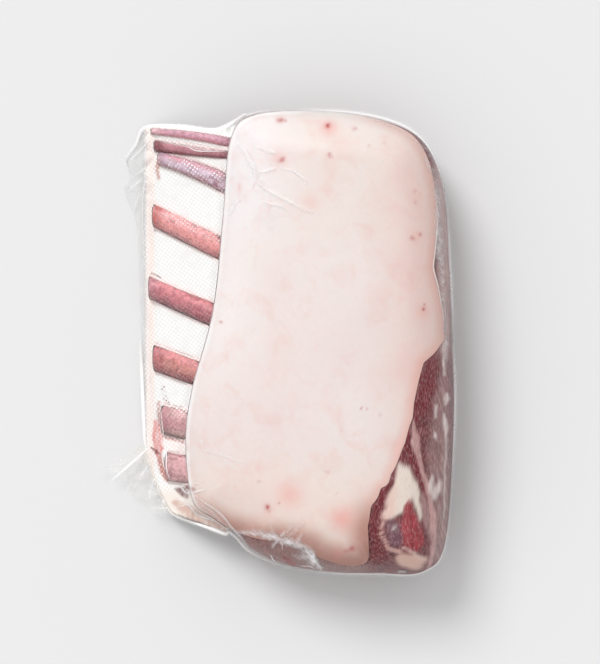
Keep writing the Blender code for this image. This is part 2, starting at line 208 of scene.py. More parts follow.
def distance_to_rim(x, y, radii):
    """Distance from each plan point to the nearest side of an outline, inside or outside it."""
    rim_x = PLAN_CENTRE[0] * MM + radii * np.cos(BEARINGS)
    rim_y = PLAN_CENTRE[1] * MM + radii * np.sin(BEARINGS)
    best = np.full(x.shape, np.inf)
    for ax, ay, bx, by in zip(rim_x, rim_y, np.roll(rim_x, -1), np.roll(rim_y, -1)):
        run_x, run_y = bx - ax, by - ay
        share = ((x - ax) * run_x + (y - ay) * run_y) / (run_x**2 + run_y**2)
        share = np.clip(share, 0.0, 1.0)
        best = np.minimum(best, (x - ax - share * run_x) ** 2 + (y - ay - share * run_y) ** 2)
    return np.sqrt(best)


def arch(x):
    """Height of the hollow under the ribs: one raised cosine from the rib tips to the chine."""
    share = np.clip((x - ARCH_LEFT_FOOT) / (ARCH_RIGHT_FOOT - ARCH_LEFT_FOOT), 0.0, 1.0)
    return ARCH_HEIGHT * (0.5 - 0.5 * np.cos(2 * math.pi * share))


def crown(x, y):
    """The height of the rack away from its edges: a low dome, highest over the loin."""
    side_fall = SIDE_FALL * ((x - CROWN_AT) / SIDE_REACH) ** 2
    return LOIN_HEIGHT - side_fall - END_FALL * (y / HALF_LENGTH) ** 2


def rounded(distance, radius):
    """A round shoulder: 0 at the rim, 1 once the distance reaches the radius."""
    short = 1.0 - np.clip(distance / radius, 0.0, 1.0)
    return (1.0 - short**2.2) ** (1.0 / 2.2)


def loaf_heights(x, y, radii):
    """(top, bottom, rim) heights of a loaf with this outline; top and bottom meet at its rim."""
    distance = distance_to_rim(x, y, radii)
    bearing, _ = bearings_and_reach(x, y)
    low, high = arch(x) + UNDERSIDE_GAP, crown(x, y)
    rim = low + (high - low) * by_bearing(bearing, RIM_SHARE)
    radius = by_bearing(bearing, EDGE_ROUNDING) * MM
    top = rim + (high - rim) * rounded(distance, radius)
    bottom = rim - (rim - low) * rounded(distance, UNDER_ROUNDING)
    return top, bottom, rim


def fat_thickness(x, y):
    """How deep the fat lies: thick over the flap, thin over the loin, tapered to its rim."""
    thick = FAT_ON_FLAP + (FAT_ON_LOIN - FAT_ON_FLAP) * smooth_step(-5 * MM, 50 * MM, x)
    distance = distance_to_rim(x, y, fat_reach(BEARINGS))
    return FAT_RIM + (thick - FAT_RIM) * smooth_step(0.0, FAT_TAPER, distance)


def stroke(x, y, points, soft=0.5):
    """1 on a band of changing half width along a line of plan points, 0 off it."""
    best = np.full(x.shape, np.inf)
    for (ax, ay, aw), (bx, by, bw) in zip(points, points[1:]):
        run_x, run_y = (bx - ax) * MM, (by - ay) * MM
        share = ((x - ax * MM) * run_x + (y - ay * MM) * run_y) / (run_x**2 + run_y**2)
        share = np.clip(share, 0.0, 1.0)
        off = np.hypot(x - ax * MM - share * run_x, y - ay * MM - share * run_y)
        best = np.minimum(best, off - (aw + (bw - aw) * share) * MM)
    return 1.0 - smooth_step(-soft * MM, soft * MM, best)


def linear(hex_colour):
    """An sRGB hex colour as linear red, green and blue."""
    parts = np.array([int(hex_colour[i : i + 2], 16) / 255 for i in (0, 2, 4)])
    return np.where(parts <= 0.04045, parts / 12.92, ((parts + 0.055) / 1.055) ** 2.4)


def layer(paint, hex_colour, share):
    """Lays a colour over the paint, as thick as the share says."""
    return paint + (linear(hex_colour) - paint) * np.clip(share, 0.0, 1.0)[..., None]


def closed_pair(name, upper, lower, **paints):
    """Two grids of points over one plan, joined by a wall round their rims, faces outwards.

    Each paint is a colour or a number for every point of (upper, lower)."""
    rows, columns = upper.shape[:2]
    count = rows * columns
    index = np.arange(count).reshape(rows, columns)
    quads = np.stack([index[:-1, :-1], index[:-1, 1:], index[1:, 1:], index[1:, :-1]], -1)
    quads = quads.reshape(-1, 4)
    rim = np.concatenate([index[0, :-1], index[:-1, -1], index[-1, :0:-1], index[:0:-1, 0]])
    following = np.roll(rim, -1)
    walls = np.stack([rim, rim + count, following + count, following], -1)
    faces = np.concatenate([quads, quads[:, ::-1] + count, walls])
    points = np.concatenate([upper.reshape(-1, 3), lower.reshape(-1, 3)])
    return mesh_piece(name, points, faces, paints)


def mesh_piece(name, points, faces, paints):
    """A smooth mesh object from arrays of points and four-sided faces, with its paints."""
    mesh = bpy.data.meshes.new(name)
    mesh.vertices.add(len(points))
    mesh.vertices.foreach_set("co", points.astype(np.float32).ravel())
    mesh.loops.add(faces.size)
    mesh.loops.foreach_set("vertex_index", faces.astype(np.int32).ravel())
    mesh.polygons.add(len(faces))
    mesh.polygons.foreach_set("loop_start", np.arange(0, faces.size, 4, dtype=np.int32))
    mesh.update(calc_edges=True)
    mesh.shade_smooth()
    for paint_name, values in paints.items():
        values = np.concatenate([np.asarray(v).reshape(len(points) // len(values), -1) for v in values])
        if values.shape[1] == 3:
            layer_made = mesh.color_attributes.new(paint_name, "FLOAT_COLOR", "POINT")
            values = np.concatenate([values, np.ones((len(values), 1))], 1)
            layer_made.data.foreach_set("color", values.astype(np.float32).ravel())
        else:
            layer_made = mesh.attributes.new(paint_name, "FLOAT", "POINT")
            layer_made.data.foreach_set("value", values.astype(np.float32).ravel())
    mesh.validate()
    piece = bpy.data.objects.new(name, mesh)
    bpy.context.scene.collection.objects.link(piece)
    return piece


def node(tree, kind, settings=None, links=None):
    """Adds one node to a material, with its properties, socket values and incoming links."""
    made = tree.nodes.new(kind)
    for key, value in (settings or {}).items():
        if isinstance(key, int) or key in made.inputs:
            made.inputs[key].default_value = value
        else:
            setattr(made, key, value)
    for key, source in (links or {}).items():
        tree.links.new(source, made.inputs[key])
    return made


def new_material(name):
    """An empty node material, its tree and its output node."""
    material = bpy.data.materials.new(name)
    material.use_nodes = True
    material.node_tree.nodes.clear()
    output = material.node_tree.nodes.new("ShaderNodeOutputMaterial")
    return material, material.node_tree, output


radii = rack_reach(BEARINGS) - by_bearing(BEARINGS, LEAN_INSET) * MM
x, y = plan_patch(radii, 216, 0.36, -0.32)
top, bottom, rim = loaf_heights(x, y, radii)
bearing, reach = bearings_and_reach(x, y)
under_fat = reach < fat_reach(bearing)
rack_top, _, _ = loaf_heights(x, y, rack_reach(BEARINGS))
wavy_x = x + 0.5 * MM * cloud(x, y, 2.9 * MM, 3) + 0.2 * MM * cloud(x, y, 0.8 * MM, 9)
wavy_y = y + 0.5 * MM * cloud(x, y, 3.3 * MM, 4)
lump = np.maximum(stroke(wavy_x, wavy_y, FAT_LUMP, 0.9), stroke(wavy_x, wavy_y, LUMP_TAIL, 0.8))
red = stroke(wavy_x, wavy_y, RED_MUSCLE)
seam = stroke(wavy_x, wavy_y, PALE_SEAM)
deep = stroke(wavy_x, wavy_y, DEEP_MUSCLE)
left = stroke(wavy_x, wavy_y, LEFT_MUSCLE)
pocket = stroke(wavy_x, wavy_y, CREAM_POCKET, 1.2)
relief = 0.5 * lump + 0.2 * seam - 0.45 * deep - 0.5 * left + 0.3 * pocket + 0.25 * red
relief += 0.12 * cloud(x, y, 5 * MM, 5) + 0.08 * cloud(x, y, 2.2 * MM, 6)
past_fat = smooth_step(0.5 * MM, 5 * MM, reach - fat_reach(bearing))
relief = relief * past_fat
to_rim = distance_to_rim(x, y, radii)
surface = top - LEAN_BELOW_FAT * (0.2 + 0.8 * past_fat) + relief * MM * smooth_step(0.0, 5 * MM, to_rim)
surface = np.where(under_fat, np.minimum(surface, rack_top - fat_thickness(x, y) - 0.3 * MM), surface)
on_rim = np.ones(x.shape, bool)
on_rim[1:-1, 1:-1] = False
surface = np.where(on_rim, rim + 0.1 * MM, np.maximum(surface, rim + 0.05 * MM))
base = np.where(on_rim, rim - 0.1 * MM, np.minimum(bottom, rim - 0.05 * MM))

grain = 0.6 * cloud(0.6 * x + 0.3 * y, 0.2 * y, 0.9 * MM, 7) + 0.5 * cloud(x, y, 3.6 * MM, 8)
streaky = cloud(x + 0.35 * y, 0.14 * y, 0.55 * MM, 19)
paint = np.broadcast_to(linear("7a3c40"), x.shape + (3,))
paint = layer(paint, "541f27", 0.45 + 0.45 * grain)
cut_face = smooth_step(-74 * MM, -84 * MM, y) * smooth_step(40 * MM, 34 * MM, x)
paint = layer(paint, "8d6d68", 0.80 * cut_face)
silver = stroke(wavy_x, wavy_y, GREY_SIDE, 2.2)
paint = layer(paint, "987876", silver * (0.70 + 0.3 * streaky))
paint = layer(paint, "b39a96", silver * smooth_step(0.25, 0.95, streaky) * 0.6)
paint = layer(paint, "6c1c28", stroke(wavy_x, wavy_y, DARK_TOP, 1.4) * (0.85 + 0.25 * grain))
paint = layer(paint, "691c27", deep * (0.9 + 0.2 * grain))
paint = layer(paint, "a07c7c", stroke(wavy_x, wavy_y, GREY_BAND, 0.8) * 0.85)
paint = layer(paint, "6c1c25", left * (0.9 + 0.2 * grain))
paint = layer(paint, "bf9794", seam * (0.85 + 0.2 * grain))
paint = layer(paint, "dccfc4", lump)
paint = layer(paint, "d9a89e", lump * 0.5 * smooth_step(50.5 * MM, 46 * MM, x))
paint = layer(paint, "96333b", red * (0.95 + 0.1 * grain))
paint = layer(paint, "6f4b57", stroke(wavy_x, wavy_y, GREY_MUSCLE, 1.0) * 0.9)
paint = layer(paint, "c9a199", stroke(wavy_x, wavy_y, LEFT_LINE, 0.4) * 0.85)
paint = layer(paint, "dcb8a9", pocket * 0.88)
paint = layer(paint, "d9c0b6", stroke(wavy_x, wavy_y, GRISTLE, 0.3) * 0.85)
far_side_skin = smooth_step(63 * MM, 67 * MM, x) * smooth_step(-10 * MM, 4 * MM, y)
paint = layer(paint, "b59c99", 0.75 * far_side_skin)
# Painted shade down the chine side
paint = layer(paint, "6b4c4e", stroke(x, y, CHINE_SIDE_SHADE, 0.8) * (0.60 + 0.3 * streaky))
paint = layer(paint, "b58f8d", stroke(wavy_x, wavy_y, CUT_EDGE, 0.5) * 0.7)
for blotch in RED_AT_CUT:
    paint = layer(paint, "8c3036", 0.85 * stroke(wavy_x, wavy_y, blotch, 0.7))
# White streaks, the last of them a painted glint
for streak in WHITE_STREAKS_AND_GLINT:
    paint = layer(paint, "ddd0cc", 0.75 * stroke(wavy_x, wavy_y, streak, 0.7))
# The underside takes up the rim's colours over 7 mm, then turns an even brownish red
UNDER_RED = linear("733c40")
rim_share = 0.85 * smooth_step(7 * MM, 0.5 * MM, to_rim)[..., None]
under_paint = UNDER_RED + (paint - UNDER_RED) * rim_share
lean = closed_pair(
    "lean_meat",
    np.stack([x, y, surface], -1),
    np.stack([x, y, base], -1),
    paint=(paint, under_paint),
    clean=(np.maximum(lump, pocket), np.zeros(x.shape)),
)

# Raw muscle, cut with a knife: wet, dark red and stranded. Strands about 0.7 mm wide run along the rack;
# they break the red up and catch the light. Pale slanting flecks over them are partly dried marks where
# the film touches and partly painted sheen.
raw_lean, tree, output = new_material("raw_lamb_muscle")
place = node(tree, "ShaderNodeTexCoord").outputs["Object"]
paint_in = node(tree, "ShaderNodeAttribute", {"attribute_name": "paint"}).outputs["Color"]
clean_in = node(tree, "ShaderNodeAttribute", {"attribute_name": "clean"}).outputs["Fac"]
along = node(tree, "ShaderNodeMapping", {"Rotation": (0, 0, 0.25), "Scale": (1.0, 0.16, 0.5)},
             {"Vector": place})
strands = node(tree, "ShaderNodeTexNoise", {"Scale": 900.0, "Detail": 4.0, "Roughness": 0.62},
               {"Vector": along.outputs["Vector"]})
darker = node(tree, "ShaderNodeMapRange",
              {"From Min": 0.35, "From Max": 0.68, "To Min": 0.76, "To Max": 1.26},
              {"Value": strands.outputs["Fac"]})
evened = node(tree, "ShaderNodeMix", {"data_type": "FLOAT", "B": 1.0},
              {"Factor": clean_in, "A": darker.outputs["Result"]})
red_out = node(tree, "ShaderNodeVectorMath", {"operation": "SCALE"},
               {"Vector": paint_in, "Scale": evened.outputs["Result"]})
# Pale flecks: partly dried marks where the film touches, partly painted sheen
slanted = node(tree, "ShaderNodeMapping", {"Rotation": (0, 0, -0.75), "Scale": (1.0, 0.3, 0.6)},
               {"Vector": place})
flecks = node(tree, "ShaderNodeTexNoise", {"Scale": 1900.0, "Detail": 3.0, "Roughness": 0.6},
              {"Vector": slanted.outputs["Vector"]})
fleck_share = node(tree, "ShaderNodeMapRange",
                   {"From Min": 0.47, "From Max": 0.82, "To Min": 0.0, "To Max": 0.55},
                   {"Value": flecks.outputs["Fac"]})
flecked = node(tree, "ShaderNodeMix", {"data_type": "RGBA", 7: (*linear("cbaaa8"), 1.0)},
               {0: fleck_share.outputs["Result"], 6: red_out.outputs["Vector"]})
bump = node(tree, "ShaderNodeBump", {"Strength": 0.35, "Distance": 0.0004},
            {"Height": strands.outputs["Fac"]})
skin_shader = node(tree, "ShaderNodeBsdfPrincipled",
                   {"Roughness": 0.4, "Specular IOR Level": 0.25, "Subsurface Weight": 0.12,
                    "Subsurface Radius": (1.0, 0.25, 0.2), "Subsurface Scale": 0.002},
                   {"Base Color": flecked.outputs[2], "Normal": bump.outputs["Normal"]})
tree.links.new(skin_shader.outputs[0], output.inputs[0])
lean.data.materials.append(raw_lean)
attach(lean, "root")
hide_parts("lean")

# The fat cap: one sheet of firm back fat, pale pink, wrapped over the top, the rib side and the far end.
# Small burst vessels and pink bruises show in it, and its edges run creamy; painted light and shade lie in
# it too, paler towards the lamp and darker where its near end turns down.
# Each is (x, y, radius) in millimetres and how strong it is
BRUISES = (
    (21.5, 87.1, 3.2, 0.75), (2.1, 91.6, 2.2, 0.25), (1.0, 74.7, 3.2, 0.28), (-16.5, 75.8, 2.2, 0.20),
    (14.2, 56.8, 3.6, 0.30), (26.0, 81.0, 3.0, 0.12), (56.8, 42.7, 3.2, 0.28), (59.5, 12.7, 3.4, 0.36),
    (56.3, 59.0, 3.0, 0.20), (-2.8, -67.5, 3.0, 0.25), (5.8, -61.8, 5.5, 0.50), (27.0, -71.0, 5.0, 0.75),
    (26.0, -85.0, 3.0, 0.35), (48.0, -42.0, 4.0, 0.20), (20.0, 70.0, 16.0, 0.05), (54.0, 30.0, 12.0, 0.12),
    (54.0, -10.0, 8.0, 0.20), (-8.0, -60.0, 9.0, 0.10), (23.2, -45.0, 1.4, 0.18), (-12.2, 58.1, 1.4, 0.22),
    (27.7, -6.1, 1.2, 0.10), (38.0, -60.0, 6.0, 0.14), (50.0, 66.0, 9.0, 0.14), (-14.8, 62.9, 1.8, 0.32),
)
BLOOD_SPOTS = (
    (21.5, 87.9, 1.1, 1.0), (1.0, 90.2, 0.7, 0.6), (2.6, 90.4, 0.8, 0.75), (4.2, 90.3, 0.6, 0.5),
    (2.3, 73.4, 0.8, 0.85), (3.3, 74.3, 0.7, 0.7), (22.1, 76.0, 0.55, 0.7), (22.5, 75.0, 0.55, 0.7),
    (-8.5, 63.7, 0.6, 0.35), (-14.8, 62.9, 0.8, 0.25), (58.2, 43.6, 0.7, 0.7), (55.3, 41.9, 0.8, 0.55),
    (59.8, 13.8, 0.7, 0.8), (60.3, 15.6, 0.5, 0.6), (56.3, 61.4, 0.8, 0.25), (56.3, 56.9, 0.7, 0.3),
    (38.1, 79.6, 0.7, 0.25), (43.6, 80.9, 0.7, 0.2), (32.2, 86.7, 0.9, 0.35), (-3.6, -66.8, 0.9, 0.95),
    (-2.7, -68.4, 0.6, 0.6), (-6.7, -56.4, 0.7, 0.3), (20.9, -52.6, 0.6, 0.5), (31.0, -83.4, 1.1, 0.75),
    (28.6, -84.4, 0.9, 0.4), (34.7, -26.8, 0.45, 0.6), (37.0, -27.1, 0.4, 0.5), (24.9, -60.4, 0.45, 0.45),
    (1.6, -65.2, 0.45, 0.5), (42.4, -29.2, 0.5, 0.25), (-21.9, 8.4, 0.6, 0.5), (26.8, -35.2, 0.7, 0.2),
)

radii = fat_reach(BEARINGS) + 0.2 * MM
x, y = plan_patch(radii, 218)
top, _, _ = loaf_heights(x, y, rack_reach(BEARINGS))
inner = top - fat_thickness(x, y)
edge = distance_to_rim(x, y, radii)
swell = 0.16 * cloud(x, y, 17 * MM, 11) + 0.07 * cloud(x, y, 6 * MM, 12)
outer = top + (swell - 0.22) * MM * smooth_step(0.0, 3 * MM, edge)

wavy_x = x + 0.5 * MM * cloud(x, y, 2.3 * MM, 13) + 0.35 * MM * cloud(x, y, 1.1 * MM, 14)
wavy_y = y + 0.5 * MM * cloud(x, y, 2.6 * MM, 15)
to_lean = smooth_step(5 * MM, 0.4 * MM, edge) * smooth_step(24 * MM, 46 * MM, x)
paint = np.broadcast_to(linear("dccfcc"), x.shape + (3,))
paint = layer(paint, "dfd5d2", 0.5 + 0.5 * cloud(x, y, 30 * MM, 16))
paint = layer(paint, "ddd2cd", smooth_step(20 * MM, 60 * MM, y))
paint = layer(paint, "dcbfb9", 0.20 * smooth_step(0.1, 0.9, cloud(x, y, 13 * MM, 17)))
paint = layer(paint, "ddcec4", 0.75 * smooth_step(-34 * MM, -74 * MM, y))
# Pinker and darker towards the loin side: partly the thin fat's own pink, partly painted shade on the
# shoulder that turns from the lamp
paint = layer(paint, "dbbdb3", 0.65 * smooth_step(34 * MM, 66 * MM, x))
# Painted light: the fat over the ribs, on the side towards the lamp, painted paler
over_ribs_painted_light = smooth_step(2 * MM, -20 * MM, x) * smooth_step(-30 * MM, 10 * MM, y)
paint = layer(paint, "e2dbd9", 0.8 * over_ribs_painted_light)
# Painted sheen: the far corner painted paler where the film's sheen lies
far_corner_painted_sheen = smooth_step(16 * MM, -8 * MM, x) * smooth_step(28 * MM, 60 * MM, y)
paint = layer(paint, "e0dbdb", 0.8 * far_corner_painted_sheen)
paint = layer(paint, "d5a297", 0.60 * to_lean)
# The near end's edge painted creamier, then darker and browner: partly the fat's own tone and partly
# painted shade where the end turns down away from the lamp
low_edge = smooth_step(-56 * MM, -78 * MM, y)
paint = layer(paint, "d6aca0", 0.75 * smooth_step(13 * MM, 1 * MM, edge) * low_edge)
paint = layer(paint, "a27468", 0.85 * smooth_step(11 * MM, 0.6 * MM, edge) * low_edge)
# Painted light: the steep left rim painted near white, standing for light bounced up from the white web
left_rim_painted_light = smooth_step(20 * MM, 0.0, x) * (1.0 - low_edge)
paint = layer(paint, "f6eeec", 0.9 * smooth_step(2.4 * MM, 0.6 * MM, edge) * left_rim_painted_light)
for spot_x, spot_y, size, strength in BRUISES:
    off = np.hypot(wavy_x - spot_x * MM, wavy_y - spot_y * MM) / (size * MM)
    paint = layer(paint, "dc8f88", 0.8 * strength * np.exp(-(off**2)))
for spot_x, spot_y, size, strength in BLOOD_SPOTS:
    off = np.hypot(wavy_x - spot_x * MM, wavy_y - spot_y * MM) / (size * MM)
    paint = layer(paint, "a81f30", strength * np.exp(-(off**2)))
fat = closed_pair(
    "fat_cap_skin",
    np.stack([x, y, outer], -1),
    np.stack([x, y, inner], -1),
    paint=(paint, np.broadcast_to(linear("d9c6be"), x.shape + (3,))),
)

# Raw back fat, as cut: waxy and faintly see-through, so light runs a few millimetres into it.
# A 2 mm mottle and a soft pink blush keep the white from looking like plastic.
raw_fat, tree, output = new_material("raw_lamb_fat")
place = node(tree, "ShaderNodeTexCoord").outputs["Object"]
paint_in = node(tree, "ShaderNodeAttribute", {"attribute_name": "paint"}).outputs["Color"]
mottle = node(tree, "ShaderNodeTexNoise", {"Scale": 450.0, "Detail": 5.0, "Roughness": 0.6},
              {"Vector": place})
lighter = node(tree, "ShaderNodeMapRange",
               {"From Min": 0.3, "From Max": 0.7, "To Min": 0.985, "To Max": 1.012},
               {"Value": mottle.outputs["Fac"]})
blush = node(tree, "ShaderNodeTexNoise",
             {"Scale": 85.0, "Detail": 6.0, "Roughness": 0.62, "Distortion": 0.9}, {"Vector": place})
blush_share = node(tree, "ShaderNodeMapRange",
                   {"From Min": 0.50, "From Max": 0.78, "To Min": 0.0, "To Max": 0.42},
                   {"Value": blush.outputs["Fac"]})
flushed = node(tree, "ShaderNodeMix", {"data_type": "RGBA", 7: (*linear("dbaea6"), 1.0)},
               {0: blush_share.outputs["Result"], 6: paint_in})
white_out = node(tree, "ShaderNodeVectorMath", {"operation": "SCALE"},
                 {"Vector": flushed.outputs[2], "Scale": lighter.outputs["Result"]})
bump = node(tree, "ShaderNodeBump", {"Strength": 0.2, "Distance": 0.0003},
            {"Height": mottle.outputs["Fac"]})
wax = node(tree, "ShaderNodeBsdfPrincipled",
           {"Roughness": 0.6, "Specular IOR Level": 0.2, "Subsurface Weight": 0.3,
            "Subsurface Radius": (1.0, 0.6, 0.5), "Subsurface Scale": 0.003},
           {"Base Color": white_out.outputs["Vector"], "Normal": bump.outputs["Normal"]})
tree.links.new(wax.outputs[0], output.inputs[0])
fat.data.materials.append(raw_fat)
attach(fat, "root")
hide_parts("fat_cap")

# The eight ribs: flat bones scraped bare of meat, cut square at the tip, each lying over the arch of the
# bag. Skin left on them is pink to mauve; each is painted lighter on its upper side, towards the lamp, and
# darker on its lower edge, partly painted shade and partly blood. Root and tip in plan, half widths there,
# sideways bow, thickness; then the colours of its upper side, middle, lower side and tip; then how white
# (a painted glint) or, below 0, dark (juice) the dimples over its upper and lower side look
RIBS = (
    ((-12.0, 80.2), (-51.0, 87.4), 2.2, 1.4, 0.9, 5.0,
     "cd9dab", "c793a2", "cf8791", "dab4b6", 0.15, 0.1),
    ((-12.0, 76.0), (-49.6, 81.3), 1.6, 2.6, -0.3, 5.0,
     "c08890", "ab727a", "7a3f48", "6d2f38", 0.15, -0.3),
    ((-12.0, 60.3), (-47.8, 75.9), 4.7, 2.7, 1.5, 6.6,
     "d29daa", "cab4c3", "b48a95", "b096a6", 0.9, 0.6),
    ((-13.0, 33.4), (-50.2, 52.4), 4.7, 4.5, 0.3, 6.6,
     "e9a8a9", "da9391", "bf7b7e", "b5625d", 0.7, -0.7),
    ((-18.0, 7.9), (-52.0, 22.6), 4.9, 4.5, 0.1, 6.6,
     "d88b90", "b66f77", "8a4d56", "bf8590", 0.1, -1.0),
    ((-24.0, -15.5), (-49.9, -6.5), 5.1, 5.4, 0.0, 6.6,
     "d98e90", "bd7f78", "8b464e", "ad666b", 0.15, -0.7),
    ((-29.0, -35.3), (-46.4, -31.9), 6.0, 6.0, 0.0, 6.6,
     "dcb0b0", "bd8d92", "c39d99", "a8757c", 0.5, -0.4),
    ((-29.0, -52.8), (-44.5, -51.5), 6.0, 5.9, 0.0, 6.6,
     "d8abae", "cfa0a3", "c29598", "c09699", 0.2, -0.4),
)


def arch_slope(x):
    """How fast arch() rises along X."""
    span = ARCH_RIGHT_FOOT - ARCH_LEFT_FOOT
    share = np.clip((x - ARCH_LEFT_FOOT) / span, 0.0, 1.0)
    return ARCH_HEIGHT * math.pi / span * np.sin(2 * math.pi * share)


def rib_surface(number, root, tip, root_half, tip_half, bow, thick, upper, middle, lower, end, *_):
    """A flattened rod carried along a bowed line: points and paint on a grid of rings.

    Each ring is an oval turned with the arch's slope, and slanted towards the tip so that the
    sawn end runs along the rack; rings close to a point at both ends."""
    run = np.array(tip) - np.array(root)
    length = math.hypot(*run)
    sideways = np.array([run[1], -run[0]]) / length
    share = np.concatenate([[0.0, 0.01, 0.03], np.linspace(0.05, 1.0 - 0.9 / length, 110),
                            1.0 - np.array([0.55, 0.25, 0.06, 0.02, 0.0]) / length])
    shrink = np.concatenate([[0.0, 0.8, 0.95], np.ones(110), [0.97, 0.93, 0.86, 0.5, 0.0]])
    turn = np.linspace(0.0, 2 * math.pi, 65)[:-1]
    plan = np.array(root) + share[:, None] * run + sideways * (4 * bow * share * (1 - share))[:, None]
    plan = plan * MM
    slope = arch_slope(plan[:, 0])
    up = np.stack([-slope, 0 * slope, np.ones_like(slope)], -1)
    up /= np.linalg.norm(up, axis=-1, keepdims=True)
    across = np.cross(np.array([run[0], run[1], 0.0]), up)
    across /= np.linalg.norm(across, axis=-1, keepdims=True)
    across += np.array([run[0], run[1], 0.0]) / length * (-run[1] / run[0] * share**3)[:, None]
    middle_height = arch(plan[:, 0]) + UNDERSIDE_GAP + thick * MM / 2 * np.sqrt(1.0 + slope**2)
    centre = np.stack([plan[:, 0], plan[:, 1], middle_height], -1)
    width = (root_half + (tip_half - root_half) * share) * MM * shrink
    u, v = share[:, None] * length * MM, turn[None, :] * root_half * MM
    lumps = 0.96 + 0.03 * cloud(u, v, 4.0 * MM, 20 + number) + 0.01 * cloud(u, v, 1.6 * MM, 30 + number)
    points = (
        centre[:, None]
        + across[:, None] * (width[:, None] * np.cos(turn) * lumps)[..., None]
        + up[:, None] * ((thick * MM / 2 * shrink)[:, None] * np.sin(turn) * lumps)[..., None]
    )
    side = np.cos(turn)[None, :] * np.sign(across[0, 1]) + 0.22 * cloud(u, v, 2.5 * MM, 40 + number)
    paint = np.broadcast_to(linear(middle), points.shape)
    # Painted light and shade: the upper side, towards the lamp, lighter; the lower side darker, partly
    # shade and partly blood
    paint = layer(paint, upper, smooth_step(0.05, 0.85, side))
    paint = layer(paint, lower, smooth_step(-0.15, -0.9, side))
    near_tip = smooth_step(length - 7.0, length - 1.5, share * length)[:, None] + 0 * side
    paint = layer(paint, end, 0.75 * near_tip)
    paint = layer(paint, "7d2f38", 0.45 * smooth_step(0.45, 0.95, cloud(u, v, 2.6 * MM, 50 + number)))
    marrow = np.where(share > 1.0 - 0.5 / length, smooth_step(0.95, 0.4, shrink), 0.0)
    paint = layer(paint, "55181e", 0.85 * marrow[:, None] + 0 * side)
    return points, paint, np.broadcast_to(smooth_step(0.1, -0.8, side), points.shape[:2])


def closed_rod(name, points, **paints):
    """Rings of points joined into one smooth rod; the first and last ring are single points."""
    rings, around = points.shape[:2]
    index = np.arange(rings * around).reshape(rings, around)
    after = np.roll(index, -1, axis=1)
    faces = np.stack([index[:-1], after[:-1], after[1:], index[1:]], -1).reshape(-1, 4)
    piece = mesh_piece(name, points.reshape(-1, 3), faces, {k: (v,) for k, v in paints.items()})
    return piece


# Scraped rib bone under a skin of periosteum: damp, pink, with rows of tiny dark pores about
# 0.5 mm wide where the knife broke the skin. It shines softly.
raw_rib, tree, output = new_material("raw_rib_bone")
place = node(tree, "ShaderNodeTexCoord").outputs["Object"]
paint_in = node(tree, "ShaderNodeAttribute", {"attribute_name": "paint"}).outputs["Color"]
shade_in = node(tree, "ShaderNodeAttribute", {"attribute_name": "pores"}).outputs["Fac"]
blots = node(tree, "ShaderNodeTexNoise", {"Scale": 700.0, "Detail": 5.0, "Roughness": 0.65},
             {"Vector": place})
blotted = node(tree, "ShaderNodeMapRange",
               {"From Min": 0.35, "From Max": 0.65, "To Min": 0.70, "To Max": 1.20},
               {"Value": blots.outputs["Fac"]})
pores = node(tree, "ShaderNodeTexVoronoi", {"Scale": 850.0, "Randomness": 0.75}, {"Vector": place})
pore_deep = node(tree, "ShaderNodeMapRange",
                 {"From Min": 0.16, "From Max": 0.30, "To Min": 1.0, "To Max": 0.0},
                 {"Value": pores.outputs["Distance"]})
# The pores mask is each rib's lower side, so the dark pores there also deepen its painted shade
pore_share = node(tree, "ShaderNodeMath", {"operation": "MULTIPLY"},
                  {0: pore_deep.outputs["Result"], 1: shade_in})
bone = node(tree, "ShaderNodeVectorMath", {"operation": "SCALE"},
            {"Vector": paint_in, "Scale": blotted.outputs["Result"]})
pitted = node(tree, "ShaderNodeMix", {"data_type": "RGBA", 7: (*linear("5a222a"), 1.0)},
              {0: pore_share.outputs[0], 6: bone.outputs["Vector"]})
bump = node(tree, "ShaderNodeBump", {"Strength": 0.4, "Distance": 0.0003},
            {"Height": blots.outputs["Fac"]})
damp = node(tree, "ShaderNodeBsdfPrincipled",
            {"Roughness": 0.4, "Specular IOR Level": 0.25, "Subsurface Weight": 0.1,
             "Subsurface Radius": (1.0, 0.4, 0.3), "Subsurface Scale": 0.001},
            {"Base Color": pitted.outputs[2], "Normal": bump.outputs["Normal"]})
tree.links.new(damp.outputs[0], output.inputs[0])
for number, rib in enumerate(RIBS, start=1):
    points, paint, pores_here = rib_surface(number, *rib)
    bone_piece = closed_rod(f"rib_bone_{number}", points, paint=paint, pores=pores_here)
    bone_piece.data.materials.append(raw_rib)
    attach(bone_piece, "root")
    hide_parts(f"rib_{number}")

# The vacuum bag: two sheets of clear film, heat sealed at the margin. The upper one is drawn
# down over the meat and round each rib, and meets the lower one between them; past the rib
# tips both are crumpled together.
BAG_MARGIN = 1.4 * MM
FLANGE_OUTLINE = (
    (-12.2, 94.2), (-24.3, 87.7), (-39.6, 89.5), (-54.1, 89.4), (-58.2, 82.3), (-62.4, 75.7),
    (-60.6, 69.1), (-63.0, 63.0), (-58.2, 48.8), (-56.8, 25.4), (-56.1, -5.2), (-54.9, -33.6),
    (-54.1, -43.8), (-50.5, -57.0), (-45.0, -68.5), (-41.0, -72.0), (-30.4, -75.4), (-20.0, -79.2),
)
FILM_CLINGS = 0.3 * MM
SEAL_HEIGHT = 0.45 * MM
WEB_RISE = 4.2 * MM
FALL_PAST_RIM = 2.8 * MM
